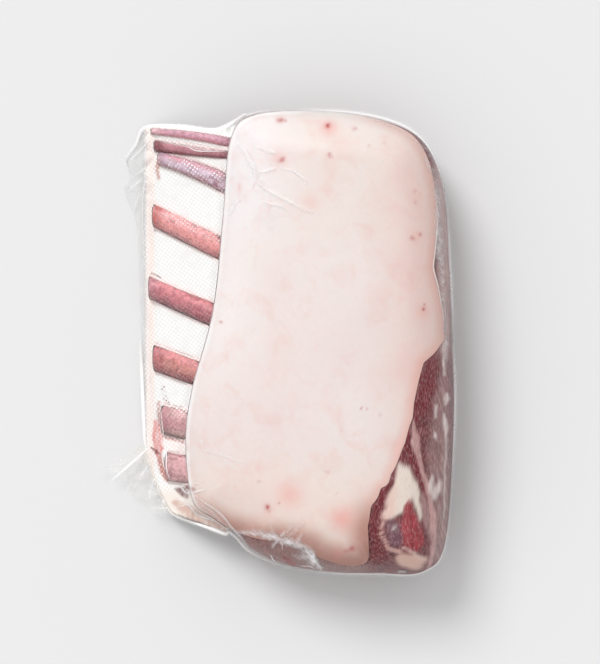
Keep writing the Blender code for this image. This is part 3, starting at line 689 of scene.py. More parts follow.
# Blood and meat juice under the film: strokes, and the colour and milkiness that they give it
STAINS = (
    (((-48.4, -25, 0.7), (-48.1, -30.5, 1.1), (-47.9, -34.9, 1.2)), "f0b9b3", 0.5, 0.9),
    (((-49.8, -32.9, 0.9), (-49.0, -38.4, 2.3), (-48.3, -43.4, 2.2), (-48.4, -47.3, 1.2)),
     "ee9c97", 0.72, 0.6),
    (((-48.0, -48.0, 1.2), (-47.2, -52.3, 1.2), (-45.2, -56.8, 0.7)), "e59c92", 0.55, 0.6),
    (((-51.4, -43.9, 0.5), (-49.4, -45.3, 1.0), (-47.9, -46.3, 0.4)), "8a3b3f", 0.75, 0.5),
    (((-48.0, 76.0, 0.6), (-49.2, 72.0, 0.9), (-48.6, 68.0, 0.4)), "e8a89a", 0.5, 0.9),
    (((-51.4, 28.6, 0.35), (-49.5, 27.9, 0.3), (-47.4, 26.7, 0.25)), "5f1a22", 0.8, 0.3),
    (((-34.9, 19.6, 0.25), (-30.5, 18.0, 0.35), (-26.7, 16.4, 0.25)), "b4434b", 0.6, 0.4),
    (((-49.3, 50.4, 0.35), (-48.4, 49.8, 0.35)), "4f161d", 0.8, 0.3),
    (((-50.0, 46.4, 0.25), (-49.8, 46.2, 0.25)), "4f161d", 0.8, 0.25),
    (((-49.6, 83.9, 0.4), (-36.5, 81.8, 0.9), (-32.0, 80.5, 1.4), (-26.0, 79.7, 1.2),
      (-20.2, 79.1, 0.7)), "eedfdb", 0.78, 0.5),
    (((-45.4, -41.5, 2.2), (-38.5, -43.2, 2.2)), "f6e9e6", 0.86, 1.0),
    (((-45.9, -39.4, 0.4), (-38.0, -41.0, 0.5)), "eab0ab", 0.6, 0.7),
    (((-46.2, -38.1, 0.2), (-37.8, -39.8, 0.35)), "4a161c", 0.9, 0.25),
    (((-45.1, -45.4, 0.2), (-39.1, -46.9, 0.35)), "a83840", 0.75, 0.3),
    (((-41.5, -60.5, 0.4), (-38.5, -61.5, 1.8), (-36.8, -63.0, 1.2)), "8f5a5c", 0.55, 0.8),
    (((-37.0, -59.5, 0.8), (-33.8, -60.2, 1.0)), "b98c8c", 0.45, 0.7),
    (((-41.0, -66.5, 1.6), (-36.0, -69.5, 2.6), (-30.0, -73.0, 2.8), (-22.0, -77.0, 2.2)),
     "d5b5a8", 0.85, 1.2),
    (((-40.0, -71.3, 0.4), (-30.0, -75.2, 0.7), (-20.5, -79.0, 0.7)), "94807c", 0.8, 0.6),
)
# Milky places: where the film lies double, or has dried and whitened. The second, a soft white patch on
# the fat's upper left, is a painted reflection of the lamp, and the last, at the near right corner, a
# painted glint
MILKY_AND_REFLECTIONS = (
    (((-12.2, 76.7, 0.7), (-9.2, 70.6, 1.1), (-7, 65.4, 1.3), (-4.4, 62.4, 0.8)), 0.30, 0.8),
    (((-2.9, 54.2, 2.0), (-2.7, 49.9, 2.6), (-1.8, 46.9, 1.2)), 0.14, 2.2),
    (((64, 70.2, 0.6), (66, 58.2, 1.2), (66.0, 49.1, 1.5), (66.7, 40, 1.8), (67.4, 30.9, 1.4),
      (68.0, 18, 0.7)), 0.62, 1.3),
    (((68.2, 20, 0.4), (69.2, 6, 0.9), (69.4, -8, 0.5)), 0.45, 0.9),
    (((60.8, 75, 0.5), (62.1, 71.8, 0.9), (62.7, 69.9, 0.4)), 0.55, 0.5),
    (((55.9, 80.2, 0.4), (56.6, 79.3, 0.4)), 0.4, 0.4),
    (((-15.9, -77.7, 0.4), (-10.9, -77.2, 0.9), (-6.5, -77.5, 1.2), (1.8, -79.7, 1.5), (8.2, -81.6, 1.4),
      (13.6, -84.1, 1.5), (16.1, -88.5, 1.2), (18.5, -92.4, 0.8)), 0.85, 1.4),
    (((8.5, -86.5, 1.0), (13.0, -87.0, 2.2), (15.0, -90.0, 1.6)), 0.55, 1.4),
    (((36.8, 92.2, 0.3), (49.8, 86.6, 0.4), (62.7, 77.6, 0.5), (66.5, 71.5, 0.4)), 0.35, 0.7),
    (((50.0, -93.4, 0.6), (53.0, -93.6, 0.9)), 0.6, 0.5),
)


def bag_reach(bearing):
    """The bag's outline: a margin round the meat, or the flange where that stands out further."""
    knots, reach = bearings_and_reach(*curve_through(FLANGE_OUTLINE, False))
    flange = np.interp(bearing % (2 * math.pi), knots % (2 * math.pi), reach, left=0.0, right=0.0)
    return np.maximum(rack_reach(bearing) + BAG_MARGIN, flange)


def over_ribs(x, y):
    """(height, whiteness, nearness, flush) of the ribs under plan points.

    The height is the upper face of the nearest rib: an oval over its line, leaning with the arch, and far
    below where no rib is. The whiteness is that of the dimples over it: a painted glint, set for each side
    of the rib and whitest towards the lamp, and below 0 the dark of juice in them. The nearness is 1 on
    the rib and falls to 0 at its sides; the flush goes a millimetre further."""
    height, white = np.full(x.shape, -1.0), np.zeros(x.shape)
    near, flush = np.zeros(x.shape), np.zeros(x.shape)
    slope = arch_slope(x)
    steep = np.sqrt(1.0 + slope**2)
    for root, tip, root_half, tip_half, bow, thick, *_, white_upper, white_lower in RIBS:
        run_x, run_y = (tip[0] - root[0]) * MM, (tip[1] - root[1]) * MM
        length = math.hypot(run_x, run_y)
        oval = 0.7
        for _ in range(3):
            off_x = x + slope / steep * thick * MM / 2 * oval - root[0] * MM
            off_y = y - root[1] * MM
            share = (off_x * run_x + off_y * run_y) / length**2
            held = np.clip(share, 0.0, 1.0)
            lateral = (off_x * run_y - off_y * run_x) / length - 4 * bow * MM * held * (1 - held)
            half = (root_half + (tip_half - root_half) * held) * MM
            past_tip = (share - 1.0) * length + lateral * run_y / run_x
            out = np.hypot(lateral / half, np.maximum(past_tip, 0.0) / (0.8 * MM))
            oval = np.sqrt(np.clip(1.0 - out**2, 0.0, 1.0))
        top = arch(x) + UNDERSIDE_GAP + thick * MM * steep * (0.5 + 0.5 * oval)
        height = np.maximum(height, np.where(out < 1.1, top, -1.0))
        here = smooth_step(1.0, 0.92, out)
        # Painted glints on the dimples, set for each side of the rib
        whiteness = white_lower + (white_upper - white_lower) * smooth_step(-0.8, 0.8, lateral / half)
        white = white + here * whiteness
        near = np.maximum(near, here)
        flush = np.maximum(flush, smooth_step(1.4, 0.95, out))
    return height, white, near, flush


def softly_highest(a, b, blend):
    """The higher of two heights, eased together over the blend where they are close."""
    share = np.clip(0.5 + 0.5 * (a - b) / blend, 0.0, 1.0)
    return b + (a - b) * share + blend * share * (1.0 - share)


def crumple(x, y):
    """How far the flange stands up: long pleats along it, with sharper folds at its top corner."""
    out = smooth_step(-47 * MM, -54 * MM, x) * smooth_step(-54 * MM, -45 * MM, y)
    corner = smooth_step(48 * MM, 66 * MM, y)
    pleats = np.abs(cloud(x, 0.12 * y, 1.9 * MM, 60))
    pleats += 0.5 * np.abs(cloud(x + 0.2 * y, 0.3 * y, 4.5 * MM, 61))
    folds = np.abs(cloud(x + 0.7 * y, y - 0.7 * x, 6.0 * MM, 62))
    folds += 0.5 * np.abs(cloud(x, y, 3.0 * MM, 63))
    return out * MM * (0.8 * pleats * (1 - corner) + 1.7 * folds * corner)


def tail_out(x, y):
    """How far past the tail's root a plan point is: 0 at the root, 1 about 24 mm out."""
    return ((-47.2 * MM - x) * 0.84 + (-55.5 * MM - y) * 0.54) / (24 * MM)


def tail_height(x, y):
    """The crumpled tail: a low hump with soft folds that run out from its root."""
    out = np.clip(tail_out(x, y), 0.0, 1.2)
    fan = np.arctan2(y + 40 * MM, x + 30 * MM)
    folds = 0.9 * np.abs(cloud(fan, 0.3 * out, 0.16, 71))
    folds = folds + 0.5 * np.abs(cloud(x + 0.5 * y, y - 0.8 * x, 3.4 * MM, 72))
    folds = folds + 0.12 * cloud(x, y, 1.3 * MM, 73)
    hump = 3.4 * np.sin(math.pi * np.clip(out / 1.25, 0.0, 1.0) ** 0.8)
    return arch(x) + MM * (0.5 + hump + 1.3 * folds * smooth_step(0.0, 0.3, out))


def upper_film(x, y):
    """(height, tint, haze, dimples) of the upper film over plan points.

    Over the meat it lies on the fat and lean; outside, it falls steeply to the lower film and
    tents over each rib."""
    bearing, reach = bearings_and_reach(x, y)
    outline = rack_reach(BEARINGS)
    top, _, rim = loaf_heights(x, y, outline)
    edge = distance_to_rim(x, y, outline)
    inside = reach < rack_reach(bearing)
    room = bag_reach(bearing) - rack_reach(bearing)
    flap_side = smooth_step(4 * MM, 8 * MM, room)
    web_level = arch(x) + SEAL_HEIGHT + WEB_RISE * flap_side * smooth_step(-54 * MM, -47 * MM, x)
    to_seal = smooth_step(0.0, 1.2 * MM, bag_reach(bearing) - reach)
    sheet = web_level + crumple(x, y)
    sheet = SEAL_HEIGHT + arch(x) + (sheet - SEAL_HEIGHT - arch(x)) * to_seal
    fall = np.clip(edge / (BAG_MARGIN + FALL_PAST_RIM * flap_side), 0.0, 1.0)
    tented = sheet + (rim - sheet) * (1.0 - fall) ** 2
    ribs_high, white, near, flush = over_ribs(x, y)
    draped = softly_highest(tented, ribs_high + FILM_CLINGS, 0.8 * MM)
    lift = FILM_CLINGS + 0.10 * MM * cloud(x, y, 6.1 * MM, 64) + 0.05 * MM * cloud(x, y, 2.3 * MM, 65)
    height = np.where(inside, top + lift, draped)
    height = np.where(inside, height, height + FILM_CLINGS * (1.0 - fall))

    outside = np.where(inside, smooth_step(0.15 * MM, 0.0, edge), 1.0)
    outside = outside * smooth_step(1.6 * MM, 4 * MM, room)
    past_tips = smooth_step(-56 * MM, -53 * MM, x)
    web = outside * (1.0 - near) * past_tips
    flange = outside * (1.0 - near) * (1.0 - past_tips)
    haze = 0.02 * outside + 0.86 * web + 0.07 * flange
    haze += flange * 0.10 * cloud(x, 0.15 * y, 1.6 * MM, 66)
    tint = np.broadcast_to(linear("eaeae8"), x.shape + (3,))
    tint = layer(tint, "f0cbc8", 0.55 * flush)
    low_left = smooth_step(-57 * MM, -64 * MM, y) * smooth_step(-28 * MM, -34 * MM, x)
    tint = layer(tint, "efe2d7", 0.7 * low_left)
    tips = smooth_step(-55 * MM, -52.5 * MM, x) * smooth_step(-49 * MM, -51.5 * MM, x)
    tint = layer(tint, "f0cfc4", 0.45 * tips)
    # White dots over the web are painted glints of the dimples; the froth below is white froth
    white = np.where(inside, 0.0, white) + 0.30 * web * smooth_step(-64 * MM, -58 * MM, y)
    for line, colour, milk, soft in STAINS:
        here = stroke(x + 0.4 * MM * cloud(x, y, 1.5 * MM, 68), y, line, soft)
        here = here * (0.8 + 0.3 * cloud(x, 0.4 * y, 1.1 * MM, 69))
        tint = layer(tint, colour, here)
        haze = haze + (milk - haze) * np.clip(here, 0.0, 1.0)
    # Milky places, one a painted reflection and one a painted glint
    for line, milk, soft in MILKY_AND_REFLECTIONS:
        near_x = x + 0.6 * MM * cloud(x, y, 1.7 * MM, 74)
        near_y = y + 0.4 * MM * cloud(x, y, 1.2 * MM, 75)
        here = stroke(near_x, near_y, line, soft)
        streaks = 0.3 * cloud(x + 0.4 * y, y, 1.1 * MM, 76) + 0.15 * cloud(x, y, 0.6 * MM, 77)
        here = here * (0.75 + streaks)
        here = here * inside * smooth_step(0.1 * MM, 0.8 * MM, edge)
        haze = haze + np.clip(milk * here, 0.0, 1.0)
        tint = layer(tint, "ede7e9", here)
    froth = stroke(x, y, ((-43.5, -25.5, 1.0), (-40, -26.5, 1.4), (-37, -27.5, 1.2)), 1.0)
    red_drops = stroke(x, y, ((-46.8, -18.5, 0.9), (-45.8, -23.5, 1.3), (-44.0, -25.0, 0.8)), 0.6)
    white = white + 1.1 * froth - 1.5 * red_drops
    return height, tint, haze, white


def open_sheet(name, points, **paints):
    """One grid of points as a single sheet, facing up."""
    rows, columns = points.shape[:2]
    index = np.arange(rows * columns).reshape(rows, columns)
    faces = np.stack([index[:-1, :-1], index[:-1, 1:], index[1:, 1:], index[1:, :-1]], -1)
    paints = {paint_name: (values,) for paint_name, values in paints.items()}
    return mesh_piece(name, points.reshape(-1, 3), faces.reshape(-1, 4), paints)


# The sheet over the meat
x, y = plan_patch(rack_reach(BEARINGS) + BAG_MARGIN, 300)
z, tint, haze, white = upper_film(x, y)
film_over_meat = open_sheet("film_over_meat", np.stack([x, y, z], -1),
                            tint=tint, haze=haze, dimples=white)

# The sheet over and between the ribs, and out to the flange: a fan of lines from the meat out
swing = np.radians(np.linspace(252.0, 98.0, 701))
swing = np.where(swing > math.pi, swing - 2 * math.pi, swing)[:, None]
share = np.linspace(0.0, 1.0, 131)[None, :]
near_reach = rack_reach(swing) + BAG_MARGIN - 0.25 * MM
radius = near_reach + (bag_reach(swing) - near_reach) * share
x = PLAN_CENTRE[0] * MM + radius * np.cos(swing)
y = PLAN_CENTRE[1] * MM + radius * np.sin(swing)
z, tint, haze, white = upper_film(x, y)
film_over_ribs = open_sheet("film_over_ribs", np.stack([x, y, z], -1),
                            tint=tint, haze=haze, dimples=white)

# The lower sheet, under the whole rack
x, y = plan_patch(bag_reach(BEARINGS), 200)
bearing, reach = bearings_and_reach(x, y)
to_seal = smooth_step(0.0, 1.2 * MM, bag_reach(bearing) - reach)
z = arch(x) + 0.42 * MM * (1 - to_seal) + to_seal * (0.02 * MM + 0.85 * crumple(x, y))
left = smooth_step(-18 * MM, -24 * MM, x)
film_under = open_sheet(
    "film_under",
    np.stack([x, y, z], -1)[:, ::-1],
    tint=np.broadcast_to(linear("ececea"), x.shape + (3,)),
    haze=(0.04 + 0.30 * left * smooth_step(-54 * MM, -50 * MM, x))[:, ::-1],
    dimples=0.0 * x,
)

# The bag's lower left corner, never filled: both sheets squashed into a crumpled tail
TAIL_ROOT = ((-50.8, -40.6), (-41.6, -69.4))
TAIL_TIP = ((-74.3, -53.6), (-45.5, -74.2))
along, across = np.meshgrid(np.linspace(0.0, 1.0, 200), np.linspace(0.0, 1.0, 150))
near, far = np.array(TAIL_ROOT) * MM, np.array(TAIL_TIP) * MM
start = near[0] + across[..., None] * (near[1] - near[0])
end = far[0] + across[..., None] * (far[1] - far[0])
ragged = 1.0 - 0.24 * smooth_step(0.0, 0.16, across) * smooth_step(0.42, 0.16, across)
ragged += 0.05 * np.sin(9.0 * across) + 0.04 * cloud(across * 14, 0 * across, 1.0, 70)
plan = start + (along * np.minimum(ragged, 1.0))[..., None] * (end - start)
x, y = plan[..., 0], plan[..., 1]
z = tail_height(x, y)
thin = smooth_step(1.02, 0.92, along)
haze = 0.07 + 0.20 * cloud(x + 0.5 * y, y, 2.6 * MM, 78) + 0.50 * smooth_step(0.50, 0.05, along)
haze = haze * thin
haze = np.clip(haze, 0.0, 1.0)
tint = np.broadcast_to(linear("fdf9f0"), x.shape + (3,))
tint = layer(tint, "efcdb6", 0.6 * smooth_step(0.6, 0.05, along) * smooth_step(0.3, 0.8, across))
film_tail = closed_pair(
    "film_tail",
    np.stack([x, y, z + 0.2 * MM], -1)[:, ::-1],
    np.stack([x, y, z], -1)[:, ::-1],
    tint=(tint[:, ::-1], tint[:, ::-1]),
    haze=(haze[:, ::-1], 0.2 * haze[:, ::-1]),
    dimples=(0.0 * x, 0.0 * x),
)

# Pleats: narrow ridges where the film had room to spare and folded on itself. Each is its half width, rise
# and milkiness, and the line that it follows; the second list lies on the tail. The milkiness is partly
# the fold's own whitening and partly a painted highlight along it.
PLEATS = (
    (1.20, 0.7, 0.50, ((-15.7, 81.0), (-13.1, 78.4), (-10.5, 74.1), (-8.7, 70.2), (-7.5, 65.4))),
    (1.00, 0.6, 0.42, ((-7.5, 65.4), (-4.0, 62.4), (1.2, 59.4), (6.4, 56.8), (11.6, 53.8), (15.9, 52.5))),
    (0.80, 0.4, 0.36, ((-9.2, 79.7), (-4.9, 78.6), (-2.3, 77.3), (0.8, 76.7))),
    (0.80, 0.5, 0.40, ((-8.7, 69.8), (-4.9, 69.3), (-1.8, 70.2), (0.8, 70.6))),
    (0.70, 0.5, 0.40, ((2.1, 70.6), (6.4, 69.8), (9.4, 68.0), (12.4, 65.4), (12.0, 63.3))),
    (0.70, 0.4, 0.40, ((-4.9, 57.2), (-1.8, 56.2), (1.6, 55.5), (4.2, 53.8))),
    (0.70, 0.4, 0.30, ((-18.7, 51.6), (-16.1, 56.8), (-12.2, 59.4))),
    (0.60, 0.5, 0.55, ((-34.4, -61.9), (-32.0, -60.9), (-28.3, -60.0))),
    (0.60, 0.6, 0.60, ((-34.4, -61.9), (-37.2, -61.8), (-39.9, -58.5))),
    (0.30, 0.5, 0.70, ((-34.4, -62.2), (-34.0, -64.9), (-33.0, -68.3))),
    (0.60, 0.7, 0.50, ((-33.0, -62.7), (-29.3, -65.3), (-25.1, -67.8), (-21.2, -71.2), (-17.8, -75.6),
                       (-13.9, -79.6), (-10.9, -83.5))),
    (0.60, 0.5, 0.35, ((-33.5, -63.4), (-30.5, -66.3), (-25.6, -69.3), (-22.7, -72.7), (-18.3, -76.6))),
    (0.65, 0.6, 0.60, ((-41.3, -68.3), (-38.9, -67.6), (-36.2, -66.8), (-33.0, -70.3), (-29.6, -72.2),
                       (-26.1, -73.0), (-21.7, -75.4), (-18.5, -76.9))),
    (0.30, 0.4, 0.60, ((-41.1, -65.3), (-39.4, -65.0), (-36.9, -66.1), (-36.2, -66.8))),
    (0.25, 0.3, 0.35, ((-35.0, -58.5), (-32.5, -57.5), (-30.3, -58.2))),
    (0.40, 0.5, 0.70, ((-18.8, -77.6), (-15.3, -81.5), (-12.9, -85.0))),
    (0.45, 0.6, 0.75, ((11.6, -83.5), (14.1, -86.4), (16.1, -88.6), (19.2, -93.3))),
    (0.35, 0.4, 0.60, ((9.7, -91.3), (14.1, -91.3), (16.5, -92.8))),
    (0.30, 0.4, 0.70, ((-2.1, -86.4), (-0.1, -90.4))),
    (0.95, 0.5, 0.40, ((1.8, -78.8), (3.1, -77.6), (3.4, -76.6))),
    (0.95, 0.5, 0.38, ((1.8, -79.6), (-0.1, -81.5), (-1.4, -84.0))),
    (1.10, 0.4, 0.20, ((1.8, -78.8), (4.8, -76.6), (6.7, -73.2))),
    (1.10, 0.4, 0.18, ((2.3, -79.6), (6.7, -77.6), (12.1, -71.5))),
    (0.95, 0.5, 0.30, ((8.2, -81.0), (9.7, -79.1), (11.2, -77.0))),
    (1.10, 0.4, 0.20, ((1.3, -78.8), (-1.1, -76.6), (-1.6, -73.0))),
    (0.95, 0.5, 0.32, ((1.3, -79.3), (-2.1, -79.1), (-5.0, -78.3))),
    (0.95, 0.5, 0.34, ((2.3, -79.8), (5.3, -81.0), (8.2, -81.5))),
    (0.25, 0.4, 0.55, ((1.8, -79.8), (2.8, -82.5), (2.6, -84.5))),
    (0.35, 0.5, 0.85, ((-47.9, -24.0), (-46.4, -37.9), (-45.3, -45.3), (-44.9, -52.8), (-42.9, -57.7))),
    (0.30, 0.4, 0.80, ((-47.2, -45.3), (-46.7, -49.3), (-45.7, -52.8))),
    (0.25, 0.4, 0.50, ((-49.4, -24.5), (-48.9, -35.4), (-48.4, -41.4))),
    (0.25, 0.4, 0.45, ((-50.9, -25.5), (-50.3, -33.4))),
    (0.25, 0.4, 0.50, ((-48.4, -24.5), (-47.6, -36.4), (-46.4, -45.3))),
    (0.35, 0.3, 0.50, ((-30.5, -37.9), (-29.6, -41.9))),
    (0.90, 0.3, 0.24, ((-31.5, -43.4), (-23.1, -45.3), (-10.7, -49.3))),
    (0.35, 0.4, 0.70, ((65.0, 60.1), (65.9, 53.0), (65.7, 46.5), (64.7, 36.7), (64.0, 30.3), (65.7, 23.8),
                       (67.0, 17.3), (68.1, 10.8), (68.3, 3.6))),
    (0.35, 0.6, 0.85, ((-49.6, 84.9), (-36.0, 82.9), (-28.5, 81.2), (-20.5, 79.9))),
    (0.30, 0.5, 0.75, ((-48.4, 83.0), (-37.3, 80.8), (-32.4, 78.7), (-26.0, 78.4), (-20.5, 78.2))),
    (0.40, 0.5, 0.50, ((-53.4, 86.0), (-54.0, 70.0), (-55.4, 55.0), (-54.6, 30.0))),
    (0.40, 0.5, 0.45, ((-53.6, 28.0), (-53.4, 8.0), (-52.4, -10.0), (-51.0, -28.0))),
    (0.40, 0.7, 0.50, ((-52.0, 84.0), (-57.0, 79.0), (-61.0, 75.0))),
    (0.40, 0.7, 0.50, ((-51.5, 77.0), (-56.0, 71.0), (-59.5, 69.0))),
    (0.40, 0.7, 0.50, ((-53.0, 70.0), (-57.5, 66.0), (-62.0, 62.5))),
    (0.35, 0.6, 0.45, ((-54.5, 64.0), (-58.0, 58.0), (-59.5, 53.0))),
)
TAIL_PLEATS = (
    (0.76, 0.6, 0.90, ((-51.1, -42.6), (-53.8, -44.6), (-58.3, -48.8), (-62.8, -52.8), (-68.7, -57.7))),
    (1.00, 0.5, 0.30, ((-50.0, -48.0), (-55.0, -54.0), (-58.0, -60.5))),
    (1.00, 0.5, 0.30, ((-47.5, -54.0), (-51.5, -60.0), (-52.5, -67.0))),
    (0.95, 0.4, 0.25, ((-56.0, -50.5), (-59.5, -54.5), (-60.0, -60.0))),
    (1.00, 0.5, 0.30, ((-44.5, -60.5), (-46.5, -65.5), (-46.0, -71.0))),
    (0.57, 0.4, 0.39, ((-49.0, -65.0), (-45.5, -65.8), (-43.0, -63.5))),
    (0.57, 0.4, 0.39, ((-52.0, -69.0), (-46.0, -68.6), (-42.5, -68.0))),
    (0.57, 0.4, 0.28, ((-63.5, -55.5), (-61.0, -58.5), (-61.5, -62.0))),
    (0.47, 0.3, 0.28, ((-67.0, -53.0), (-70.0, -52.6), (-73.5, -53.4))),
    (0.47, 0.3, 0.28, ((-63.0, -51.0), (-66.5, -50.6), (-70.0, -52.0))),
)


def pleat(line_x, line_y, half, rise, milk, height_at):
    """A ridge along a line: nine points across it on a rounded tent that tapers at both ends."""
    run_x, run_y = np.gradient(line_x), np.gradient(line_y)
    length = np.hypot(run_x, run_y)
    across = np.linspace(-1.0, 1.0, 9)[None, :]
    taper = np.sin(math.pi * np.linspace(0.04, 0.96, len(line_x)))[:, None] ** 0.6
    x = line_x[:, None] + (run_y / length)[:, None] * across * 1.25 * half * MM * (0.4 + 0.6 * taper)
    y = line_y[:, None] - (run_x / length)[:, None] * across * 1.25 * half * MM * (0.4 + 0.6 * taper)
    tent = (1.0 - across**2) ** 1.5 * taper
    z = height_at(x, y) + 0.03 * MM + 0.6 * rise * MM * tent
    return np.stack([x, y, z], -1), milk * tent


all_points, all_faces, all_haze, made = [], [], [], 0
# The seal round the rim: a nearly opaque white line, partly the seal's milkiness and partly a painted
# highlight along the film's edge
SEAL_LINE_AND_HIGHLIGHT = (1.05, 0.80, 0.98)
seal_reach = bag_reach(BEARINGS) - 0.15 * MM
rim_x = PLAN_CENTRE[0] * MM + seal_reach * np.cos(BEARINGS)
rim_y = PLAN_CENTRE[1] * MM + seal_reach * np.sin(BEARINGS)
lines = [(*curve_through(line, False), half, rise, milk, lambda x, y: upper_film(x, y)[0])
         for half, rise, milk, line in PLEATS]
lines += [(*curve_through(line, False), half, rise, milk, lambda x, y: tail_height(x, y) + 0.2 * MM)
          for half, rise, milk, line in TAIL_PLEATS]
lines += [(rim_x[i : i + 61], rim_y[i : i + 61], *SEAL_LINE_AND_HIGHLIGHT, lambda x, y: arch(x) + SEAL_HEIGHT)
          for i in range(0, 420, 60)]
for line in lines:
    points, milk = pleat(*line)
    index = made + np.arange(milk.size).reshape(milk.shape)
    faces = np.stack([index[:-1, :-1], index[:-1, 1:], index[1:, 1:], index[1:, :-1]], -1)
    all_points.append(points.reshape(-1, 3))
    all_faces.append(faces.reshape(-1, 4))
    all_haze.append(milk.ravel())
    made += milk.size
film_pleats = mesh_piece(
    "film_pleats",
    np.concatenate(all_points),
    np.concatenate(all_faces),
    {"tint": (np.broadcast_to(linear("fbfafa"), (made, 3)),), "haze": (np.concatenate(all_haze),),
     "dimples": (np.zeros(made),)},
)

# Coextruded nylon and polythene film, 0.1 mm thick: clear and glossy, milky where it lies double, and
# pressed with a lozenge lattice of dimples 1.35 mm apart. Their white dots are painted glints, save where
# they mark froth, and over bone some show dark where they hold juice.
clear_film, tree, output = new_material("clear_vacuum_film")
place = node(tree, "ShaderNodeTexCoord").outputs["Object"]
tint_in = node(tree, "ShaderNodeAttribute", {"attribute_name": "tint"}).outputs["Color"]
haze_in = node(tree, "ShaderNodeAttribute", {"attribute_name": "haze"}).outputs["Fac"]
dimple_in = node(tree, "ShaderNodeAttribute", {"attribute_name": "dimples"}).outputs["Fac"]
turned = node(tree, "ShaderNodeMapping", {"Rotation": (0, 0, 0.62), "Scale": (740.0, 740.0, 0.0)},
              {"Vector": place})
lattice = node(tree, "ShaderNodeTexVoronoi",
               {"voronoi_dimensions": "2D", "Scale": 1.0, "Randomness": 0.10},
               {"Vector": turned.outputs["Vector"]})
dots = node(tree, "ShaderNodeMapRange",
            {"From Min": 0.20, "From Max": 0.40, "To Min": 1.0, "To Max": 0.0},
            {"Value": lattice.outputs["Distance"]})
patchy = node(tree, "ShaderNodeTexNoise", {"Scale": 210.0, "Detail": 3.0}, {"Vector": place})
patchy_dots = node(tree, "ShaderNodeMapRange",
                   {"From Min": 0.38, "From Max": 0.60, "To Min": 0.15, "To Max": 1.0},
                   {"Value": patchy.outputs["Fac"]})
dots_seen = node(tree, "ShaderNodeMath", {"operation": "MULTIPLY"},
                 {0: dots.outputs["Result"], 1: patchy_dots.outputs["Result"]})
# Painted glints and froth: white dots where the dimples paint is above 0
glint_and_froth_dots = node(tree, "ShaderNodeMath", {"operation": "MULTIPLY", "use_clamp": True},
                  {0: dots_seen.outputs[0], 1: dimple_in})
less = node(tree, "ShaderNodeMath", {"operation": "MULTIPLY", 1: -1.0}, {0: dimple_in})
dark_dots = node(tree, "ShaderNodeMath", {"operation": "MULTIPLY", "use_clamp": True},
                 {0: dots_seen.outputs[0], 1: less.outputs[0]})
whiter = node(tree, "ShaderNodeMix", {"data_type": "RGBA", 7: (0.97, 0.97, 0.97, 1.0)},
              {0: glint_and_froth_dots.outputs[0], 6: tint_in})
darker = node(tree, "ShaderNodeMix", {"data_type": "RGBA", 7: (*linear("6a1c26"), 1.0)},
              {0: dark_dots.outputs[0], 6: whiter.outputs[2]})
with_white = node(tree, "ShaderNodeMath", {"operation": "MULTIPLY_ADD", 1: 0.95},
                  {0: glint_and_froth_dots.outputs[0], 2: haze_in})
milky = node(tree, "ShaderNodeMath", {"operation": "MULTIPLY_ADD", 1: 0.8, "use_clamp": True},
             {0: dark_dots.outputs[0], 2: with_white.outputs[0]})
wrinkle = node(tree, "ShaderNodeTexNoise",
               {"Scale": 240.0, "Detail": 4.0, "Roughness": 0.55, "Distortion": 1.2}, {"Vector": place})
bump_fine = node(tree, "ShaderNodeBump", {"Strength": 0.22, "Distance": 0.0006},
                 {"Height": wrinkle.outputs["Fac"]})
bump_dots = node(tree, "ShaderNodeBump", {"Strength": 0.5, "Distance": 0.0002},
                 {"Height": dots_seen.outputs[0], "Normal": bump_fine.outputs["Normal"]})
see_through = node(tree, "ShaderNodeBsdfTransparent", {"Color": (0.995, 0.995, 0.995, 1.0)})
lit_side = node(tree, "ShaderNodeBsdfDiffuse", {}, {"Color": darker.outputs[2]})
far_side = node(tree, "ShaderNodeBsdfTranslucent", {}, {"Color": darker.outputs[2]})
thin_milk = node(tree, "ShaderNodeMath",
                 {"operation": "MULTIPLY_ADD", 1: -0.75, 2: 0.65, "use_clamp": True},
                 {0: milky.outputs[0]})
passes_on = node(tree, "ShaderNodeMath", {"operation": "SUBTRACT", "use_clamp": True},
                 {0: thin_milk.outputs[0], 1: dots_seen.outputs[0]})
milk_body = node(tree, "ShaderNodeMixShader", {},
                 {0: passes_on.outputs[0], 1: lit_side.outputs[0], 2: far_side.outputs[0]})
body = node(tree, "ShaderNodeMixShader", {},
            {0: milky.outputs[0], 1: see_through.outputs[0], 2: milk_body.outputs[0]})
shine = node(tree, "ShaderNodeBsdfGlossy", {"Roughness": 0.36}, {"Normal": bump_dots.outputs["Normal"]})
at_edge = node(tree, "ShaderNodeFresnel", {"IOR": 1.22}, {"Normal": bump_fine.outputs["Normal"]})
gloss_share = node(tree, "ShaderNodeMath", {"operation": "MINIMUM", 1: 0.06}, {0: at_edge.outputs[0]})
film_out = node(tree, "ShaderNodeMixShader", {},
                {0: gloss_share.outputs[0], 1: body.outputs[0], 2: shine.outputs[0]})
tree.links.new(film_out.outputs[0], output.inputs[0])

for sheet_piece in (film_over_meat, film_over_ribs, film_under, film_tail, film_pleats):
    sheet_piece.data.materials.append(clear_film)
    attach(sheet_piece, "root")
    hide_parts("vacuum_bag")

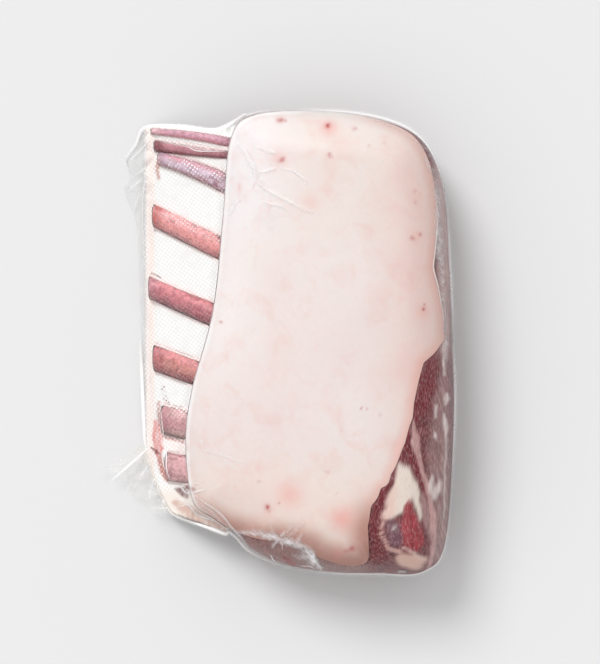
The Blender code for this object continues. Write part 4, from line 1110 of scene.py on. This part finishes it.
# The studio: a pale matt tabletop, a large soft lamp high on the left and behind, and an even
# white surround that fills the shadows.
TABLE_HALF, TABLE_TOP = 3.0, -0.2 * MM
floor_mesh = bpy.data.meshes.new("tabletop")
floor_mesh.from_pydata(
    [(TABLE_HALF * side, TABLE_HALF * end, TABLE_TOP)
     for side, end in ((-1, -1), (1, -1), (1, 1), (-1, 1))],
    [], [(0, 1, 2, 3)],
)
floor = bpy.data.objects.new("tabletop", floor_mesh)
bpy.context.scene.collection.objects.link(floor)
matt, tree, output = new_material("matt_white_laminate")
table_top = node(tree, "ShaderNodeBsdfPrincipled",
                 {"Base Color": (0.70, 0.70, 0.703, 1.0), "Roughness": 0.9, "Specular IOR Level": 0.1})
tree.links.new(table_top.outputs[0], output.inputs[0])
floor_mesh.materials.append(matt)

world = bpy.data.worlds.new("white_surround")
world.use_nodes = True
surround = world.node_tree.nodes["Background"]
surround.inputs["Color"].default_value = (1.0, 1.0, 1.0, 1.0)
surround.inputs["Strength"].default_value = 0.79
bpy.context.scene.world = world
lamp_data = bpy.data.lights.new("soft_lamp", "SUN")
lamp_data.energy = 1.87
lamp_data.angle = math.radians(26)
lamp = bpy.data.objects.new("soft_lamp", lamp_data)
lamp.rotation_euler = (math.radians(-35), math.radians(-27.5), 0.0)
bpy.context.scene.collection.objects.link(lamp)

# The camera looks straight down from 1.7 m, as the photograph was taken, and takes in 245 mm
# at the height of the meat's upper side.
camera_data = bpy.data.cameras.new("camera")
camera_data.sensor_fit = "HORIZONTAL"
camera_data.sensor_width = 36.0
CAMERA_HEIGHT = 1.70
MEAT_HEIGHT = 30 * MM
VIEW_WIDTH = 600 / 2.45 * MM
camera_data.lens = camera_data.sensor_width * (CAMERA_HEIGHT - MEAT_HEIGHT) / VIEW_WIDTH
camera = bpy.data.objects.new("camera", camera_data)
camera.location = (10.0 * MM, 4.3 * MM, CAMERA_HEIGHT)
bpy.context.scene.collection.objects.link(camera)
bpy.context.scene.camera = camera
bpy.context.scene.view_settings.view_transform = "Standard"
